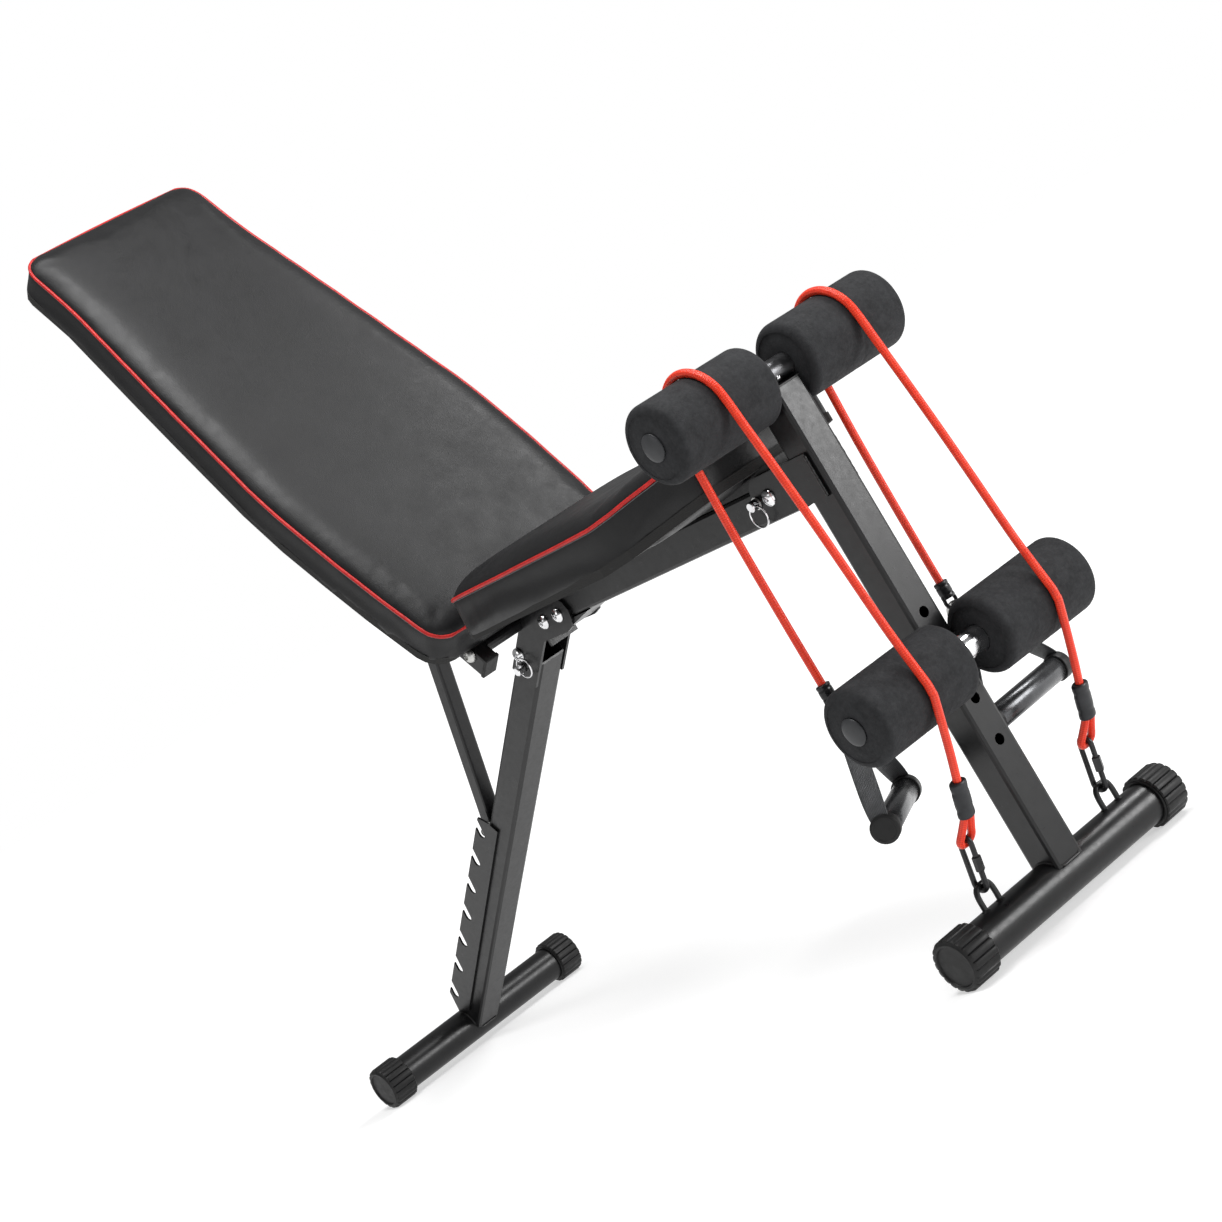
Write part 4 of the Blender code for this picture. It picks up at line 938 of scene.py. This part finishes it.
# name, x, z, radius, head's radius and height, half length, body, slot, material, CAD node
for *fastener, cad_node in (
        ("clevis_fastener_front", 0.1040, 0.4690, 0.0040, 0.0085, 0.005, CHEEK_OUT, "beam", "chrome",
         CHROME, "clevis_bolt_front"),
        ("clevis_fastener_rear", 0.0727, 0.4686, 0.0040, 0.0085, 0.005, CHEEK_OUT, "beam", "chrome",
         CHROME, "clevis_bolt_rear"),
        ("front_pivot_fastener", 0.533, 0.485, 0.0050, 0.0090, 0.0040, CHEEK_OUT, "front_post", "chrome",
         CHROME, "front_pivot_bolt"),
        ("leg_pivot_fastener", -0.0076, 0.4468, 0.0050, 0.0090, 0.005, CHEEK_OUT, "rear_leg", "chrome",
         CHROME, "leg_pivot_bolt"),
        ("hinge_axle", *HINGE, 0.0055, 0.0084, 0.007, 0.0953, "backrest", "zinc", ZINC, "hinge_shaft")):
    button_bolt(*fastener, [cad_node])


def pull_ring(name, centre, hang, body):
    """The ring in a lock pin's head."""
    line = [(x, 0, z - PULL_RING_R) for x, z in arc((0, 0), PULL_RING_R, 0, 360, 48)[:-1]]
    place = UPRIGHT @ Matrix.Translation((centre[0], PULL_RING_Y, centre[1])) @ Matrix.Rotation(hang, 4, "Y")
    piece(name + "_split_ring", swept(line, round_section(PULL_RING_WIRE, 10), True), CHROME, body,
          place, [name + "_pull_ring"])


pull_ring("front", (0.512, 0.485), 0.0, "front_ring")
pull_ring("leg", (-0.0147, 0.4314), math.radians(-92), "leg_ring")


# -------- D-handles
RING_HALF = 0.0145
RING_R = 0.002
RING_BAR = -0.0220
RING_BEND = 0.0025
STRAP_T = 0.002
STRAP_W = 0.022
STRAP_THIN = 0.55       # how much thinner the webbing is at its very edge
STRAP_CLOSE = 0.002     # the weave's run over the span that closes the band
GATHERED = 0.0105       # the webbing's width inside the grip
GRIP_DROP = 0.111
GRIP_HALF = 0.0575
GRIP_R = 0.0130
GRIP_BORE = 0.0076


def strap():
    """Webbing in a closed triangle: over the ring's bar, down both sides and through the grip."""
    half = [(0.0000, RING_BAR + 0.0037, STRAP_W), (0.0035, RING_BAR + 0.0028, STRAP_W),
            (0.0075, RING_BAR - 0.0030, STRAP_W), (0.0250, -0.0460, STRAP_W),
            (0.0500, -0.0790, STRAP_W), (0.0625, -0.0985, 0.019), (0.0645, -0.1060, 0.014),
            (0.0620, -0.1100, 0.0115), (0.0560, -GRIP_DROP, GATHERED), (0.0280, -GRIP_DROP, GATHERED)]
    path = half + [(0.0, -GRIP_DROP, GATHERED)] + [(-y, z, w) for y, z, w in reversed(half[1:])]
    line = smooth_route(path + path[:1], 5)[:-1]
    rings = []
    travelled = [0.0]
    cross = 10
    across = [2 * k / cross - 1 for k in range(cross + 1)]
    for i, (y, z, w) in enumerate(line):
        before, after = line[i - 1], line[(i + 1) % len(line)]
        tangent = Vector((0, after[0] - before[0], after[1] - before[1])).normalized()
        out = Vector((0, -tangent.z, tangent.y))
        centre = Vector((0, y, z))
        rings.append([centre + Vector((w / 2 * face * a, 0, 0))
                      + face * out * STRAP_T / 2 * (1 - STRAP_THIN * abs(a) ** 6)
                      for face in (1, -1) for a in across])
        if i:
            travelled.append(travelled[-1] + (centre - Vector((0, before[0], before[1]))).length)
    bm = loft(rings, closed=True)
    layer = bm.loops.layers.uv.new("along")
    bm.verts.index_update()
    sides = len(rings[0])
    for face in bm.faces:
        rows = [loop.vert.index // sides for loop in face.loops]
        wraps = max(rows) == len(rings) - 1 and min(rows) == 0
        for loop, row in zip(face.loops, rows):
            u = travelled[-1] + STRAP_CLOSE if (wraps and row == 0) else travelled[row]
            loop[layer].uv = (u, loop.vert.co.x / STRAP_W + 0.5)
    return bm


def d_handle(word, side, yaw, swing):
    """A D-ring with its webbing strap and tube grip."""
    place = (UPRIGHT @ Matrix.Translation((REAR_X, side * ROPE_Y, REAR_EYE_Z[word]))
             @ Euler((0.0, swing, yaw)).to_matrix().to_4x4())
    body = "handle_" + word
    round_top = arc((0, -0.0100), RING_HALF, 180, 0, 20)
    low = arc((RING_HALF - RING_BEND, RING_BAR + RING_BEND), RING_BEND, 0, -90, 5)
    line = [(a, 0, b) for a, b in round_top + low + [(-a, b) for a, b in reversed(low)]]
    piece("d_ring_" + word, swept(line, round_section(RING_R, 14), True), ZINC, body, place,
          ["handle_ring_" + word])
    piece("strap_" + word, strap(), WEBBING, body, place, ["handle_strap_" + word], 60)
    mouth, end, edge = GRIP_R - 0.0004, GRIP_HALF - 0.002, GRIP_HALF - 0.0026
    tube = [(GRIP_BORE, -end), (mouth, -end), (GRIP_R, -edge), (GRIP_R, edge), (mouth, end),
            (GRIP_BORE, end)]
    piece("grip_tube_" + word, moved(turned(tube, 56, True), z=-GRIP_DROP), GRIP, body, place,
          ["handle_grip_" + word])
    cap_r, cap_out = 0.0148, GRIP_HALF + 0.0090
    cap = [(0.0, GRIP_HALF - 0.0021), (cap_r - 0.0006, GRIP_HALF - 0.0021), (cap_r, GRIP_HALF - 0.0014),
           (cap_r, cap_out - 0.0016), (cap_r - 0.0005, cap_out - 0.0006), (cap_r - 0.0018, cap_out),
           (cap_r - 0.0032, cap_out + 0.0001), (cap_r - 0.0038, cap_out - 0.0004), (0.0, cap_out - 0.0002)]
    for way in (-1, 1):
        name = f"grip_end_{word}_{'outer' if way == side else 'inner'}"
        piece(name, moved(turned(mirrored(cap, way), 48), z=-GRIP_DROP), PLASTIC, body, place)


d_handle("right", -1, math.radians(36), 0.0)
d_handle("left", 1, math.radians(6), math.radians(-12))


# -------- plugs and weld beads
BEAD_R = 0.0016
BEAD_SWELL, BEAD_WAVE = 0.12, 1.9
BRACKET_WELD_X = 0.6108
FOOT_BEAD_R = 0.0014
PACKER = (0.402, 0.548, 0.0175)    # from x, to x and half width
RAIL_Y = 0.085
PLUG_X = (0.0190, 0.0236)
PLUG_HALF = (0.0099, 0.0134)
PLUG_EASE = 0.0008
PLUG_Z = BACK_BASE - 0.0006 - 0.0135


def bead(name, points, body):
    """A weld bead: a thin round fillet that swells and thins a little along its line."""
    line = smooth_route(points, 6)

    def section(part):
        return round_section(BEAD_R * (1 + BEAD_SWELL * math.sin(part * len(line) * BEAD_WAVE)), 10)
    piece(name, swept(line, section), WELD, body)


def seat_packer():
    """Wedge that fills the room between the beam and the seat's bent-up front."""
    first, last, half = PACKER
    low = SEAT_BASE - 0.0002
    reads = 12
    rings = []
    for i in range(reads + 1):
        x = first + (last - first) * i / reads
        top = SEAT_BASE + seat_rise(x) + 0.0004
        rings.append([(x, -half, low), (x, half, low), (x, half, top), (x, -half, top)])
    piece("seat_packer", loft(rings), PLASTIC, "beam")


def rail_plug(word, side):
    """The plug in the lower end of a backrest rail, with its outer edge eased."""
    (x0, x1), (half_y, half_z) = PLUG_X, PLUG_HALF
    plug = [[(x, side * RAIL_Y + a, PLUG_Z + b)
             for a, b in ((hy, hz), (-hy, hz), (-hy, -hz), (hy, -hz))]
            for x, hy, hz in ((x0, half_y, half_z), (x1 - PLUG_EASE, half_y, half_z),
                              (x1, half_y - PLUG_EASE, half_z - PLUG_EASE))]
    piece("rail_plug_" + word, loft(plug), PLASTIC, "backrest", BACK)


seat_packer()
for word, side in SIDES:
    rail_plug(word, side)
    bead("bracket_weld_" + word, [(BRACKET_WELD_X, side * (HALF_TUBE + 0.0030), z)
                                  for z in (0.4630, 0.4750, 0.4950, 0.5065)], "front_post")


def foot_bead(name, place, body):
    """Bead round the joint of a square tube, which stands along local X, and its round foot."""
    reads = 48
    half = HALF_TUBE + 0.0004
    corner = 0.86           # rounds the tube's corners
    line = []
    for i in range(reads):
        angle = 2 * math.pi * i / reads
        a, b = math.cos(angle), math.sin(angle)
        stretch = half / max(abs(a), abs(b), corner)
        across, along = a * stretch, b * stretch
        line.append(place @ Vector((math.sqrt((FOOT_R + 0.0006) ** 2 - across ** 2), along, across)))
    piece(name, swept(line, round_section(FOOT_BEAD_R, 8), True), WELD, body,
          Matrix.Identity(4))


foot_bead("front_foot_weld", UPRIGHT @ Matrix.Translation((POST_X, 0, FOOT_CAP_R))
          @ Matrix.Rotation(-math.pi / 2, 4, "Y"), "front_post")
foot_bead("rear_foot_weld", LEG, "rear_leg")


# -------- finishes of the CAD nodes that stay in view
for material, names in (
        (STEEL, ("main_beam", "front_post", "front_bracket", "rear_clevis", "rear_leg", "rack_plate_left",
                 "rack_plate_right", "back_rail_left", "back_rail_right", "strut_bracket", "strut_tube",
                 "lower_roller_bracket")),
        (BOARD, ("seat_board", "backrest_board")), (ZINC, ("strut_rod", "front_pin_washer")),
        (CHROME, ("front_lock_pin", "leg_lock_pin")), (PLASTIC, ("post_top_plug",))):
    for name in names:
        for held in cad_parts[name].material_slots:
            held.material = material


# -------- floor, backdrop and light
def studio():
    """White paper floor, white backdrop and four softboxes."""
    floor_bm = bmesh.new()
    bmesh.ops.create_grid(floor_bm, x_segments=1, y_segments=1, size=14.0)
    mesh = bpy.data.meshes.new("studio_floor")
    floor_bm.to_mesh(mesh)
    floor_bm.free()
    paper, tree, shader, coords = start("paper_white", 0.9, Specular_IOR_Level=0.0)
    tint(tree, shader, noise(tree, coords, 2.0), (0.60, 0.60, 0.60), (0.64, 0.64, 0.64))
    # the paper glows a little, and more with distance, so that floor and backdrop run together
    away = node(tree, "ShaderNodeVectorMath", {0: coords}, operation="LENGTH").outputs["Value"]
    glow = spread(tree, away, 0.52, 1.0, 0.9, 3.0)
    shader.inputs["Emission Color"].default_value = (1.0, 1.0, 1.0, 1.0)
    tree.links.new(glow, shader.inputs["Emission Strength"])
    mesh.materials.append(paper)
    added("studio_floor", mesh)
    world = bpy.data.worlds.new("studio")
    world.use_nodes = True
    sky = world.node_tree
    background = sky.nodes["Background"]
    background.inputs["Color"].default_value = (1.0, 1.0, 1.0, 1.0)
    seen = node(sky, "ShaderNodeLightPath").outputs["Is Camera Ray"]
    sky.links.new(spread(sky, seen, 0.30, 1.0, 0.0, 1.0), background.inputs["Strength"])
    bpy.context.scene.world = world
    for name, at, aim, size, power in (("top_softbox", (0.6, -0.2, 3.0), (0.1, 0, 0.4), 1.5, 74.0),
                                       ("front_softbox", (2.9, 2.0, 0.8), (0.5, 0, 0.3), 1.2, 66.0),
                                       ("back_softbox", (1.0, 2.3, 2.8), (0.3, 0, 0.4), 0.9, 46.0),
                                       ("side_softbox", (-1.0, -3.0, 1.5), (0, 0, 0.5), 1.2, 7.0)):
        data = bpy.data.lights.new(name, "AREA")
        data.shape = "SQUARE"
        data.size = size
        data.energy = power
        lamp = added(name, data)
        direction = Vector(aim) - Vector(at)
        lamp.matrix_world = Matrix.Translation(at) @ direction.to_track_quat("-Z", "Y").to_matrix().to_4x4()


studio()
bpy.context.scene.view_settings.view_transform = "Standard"
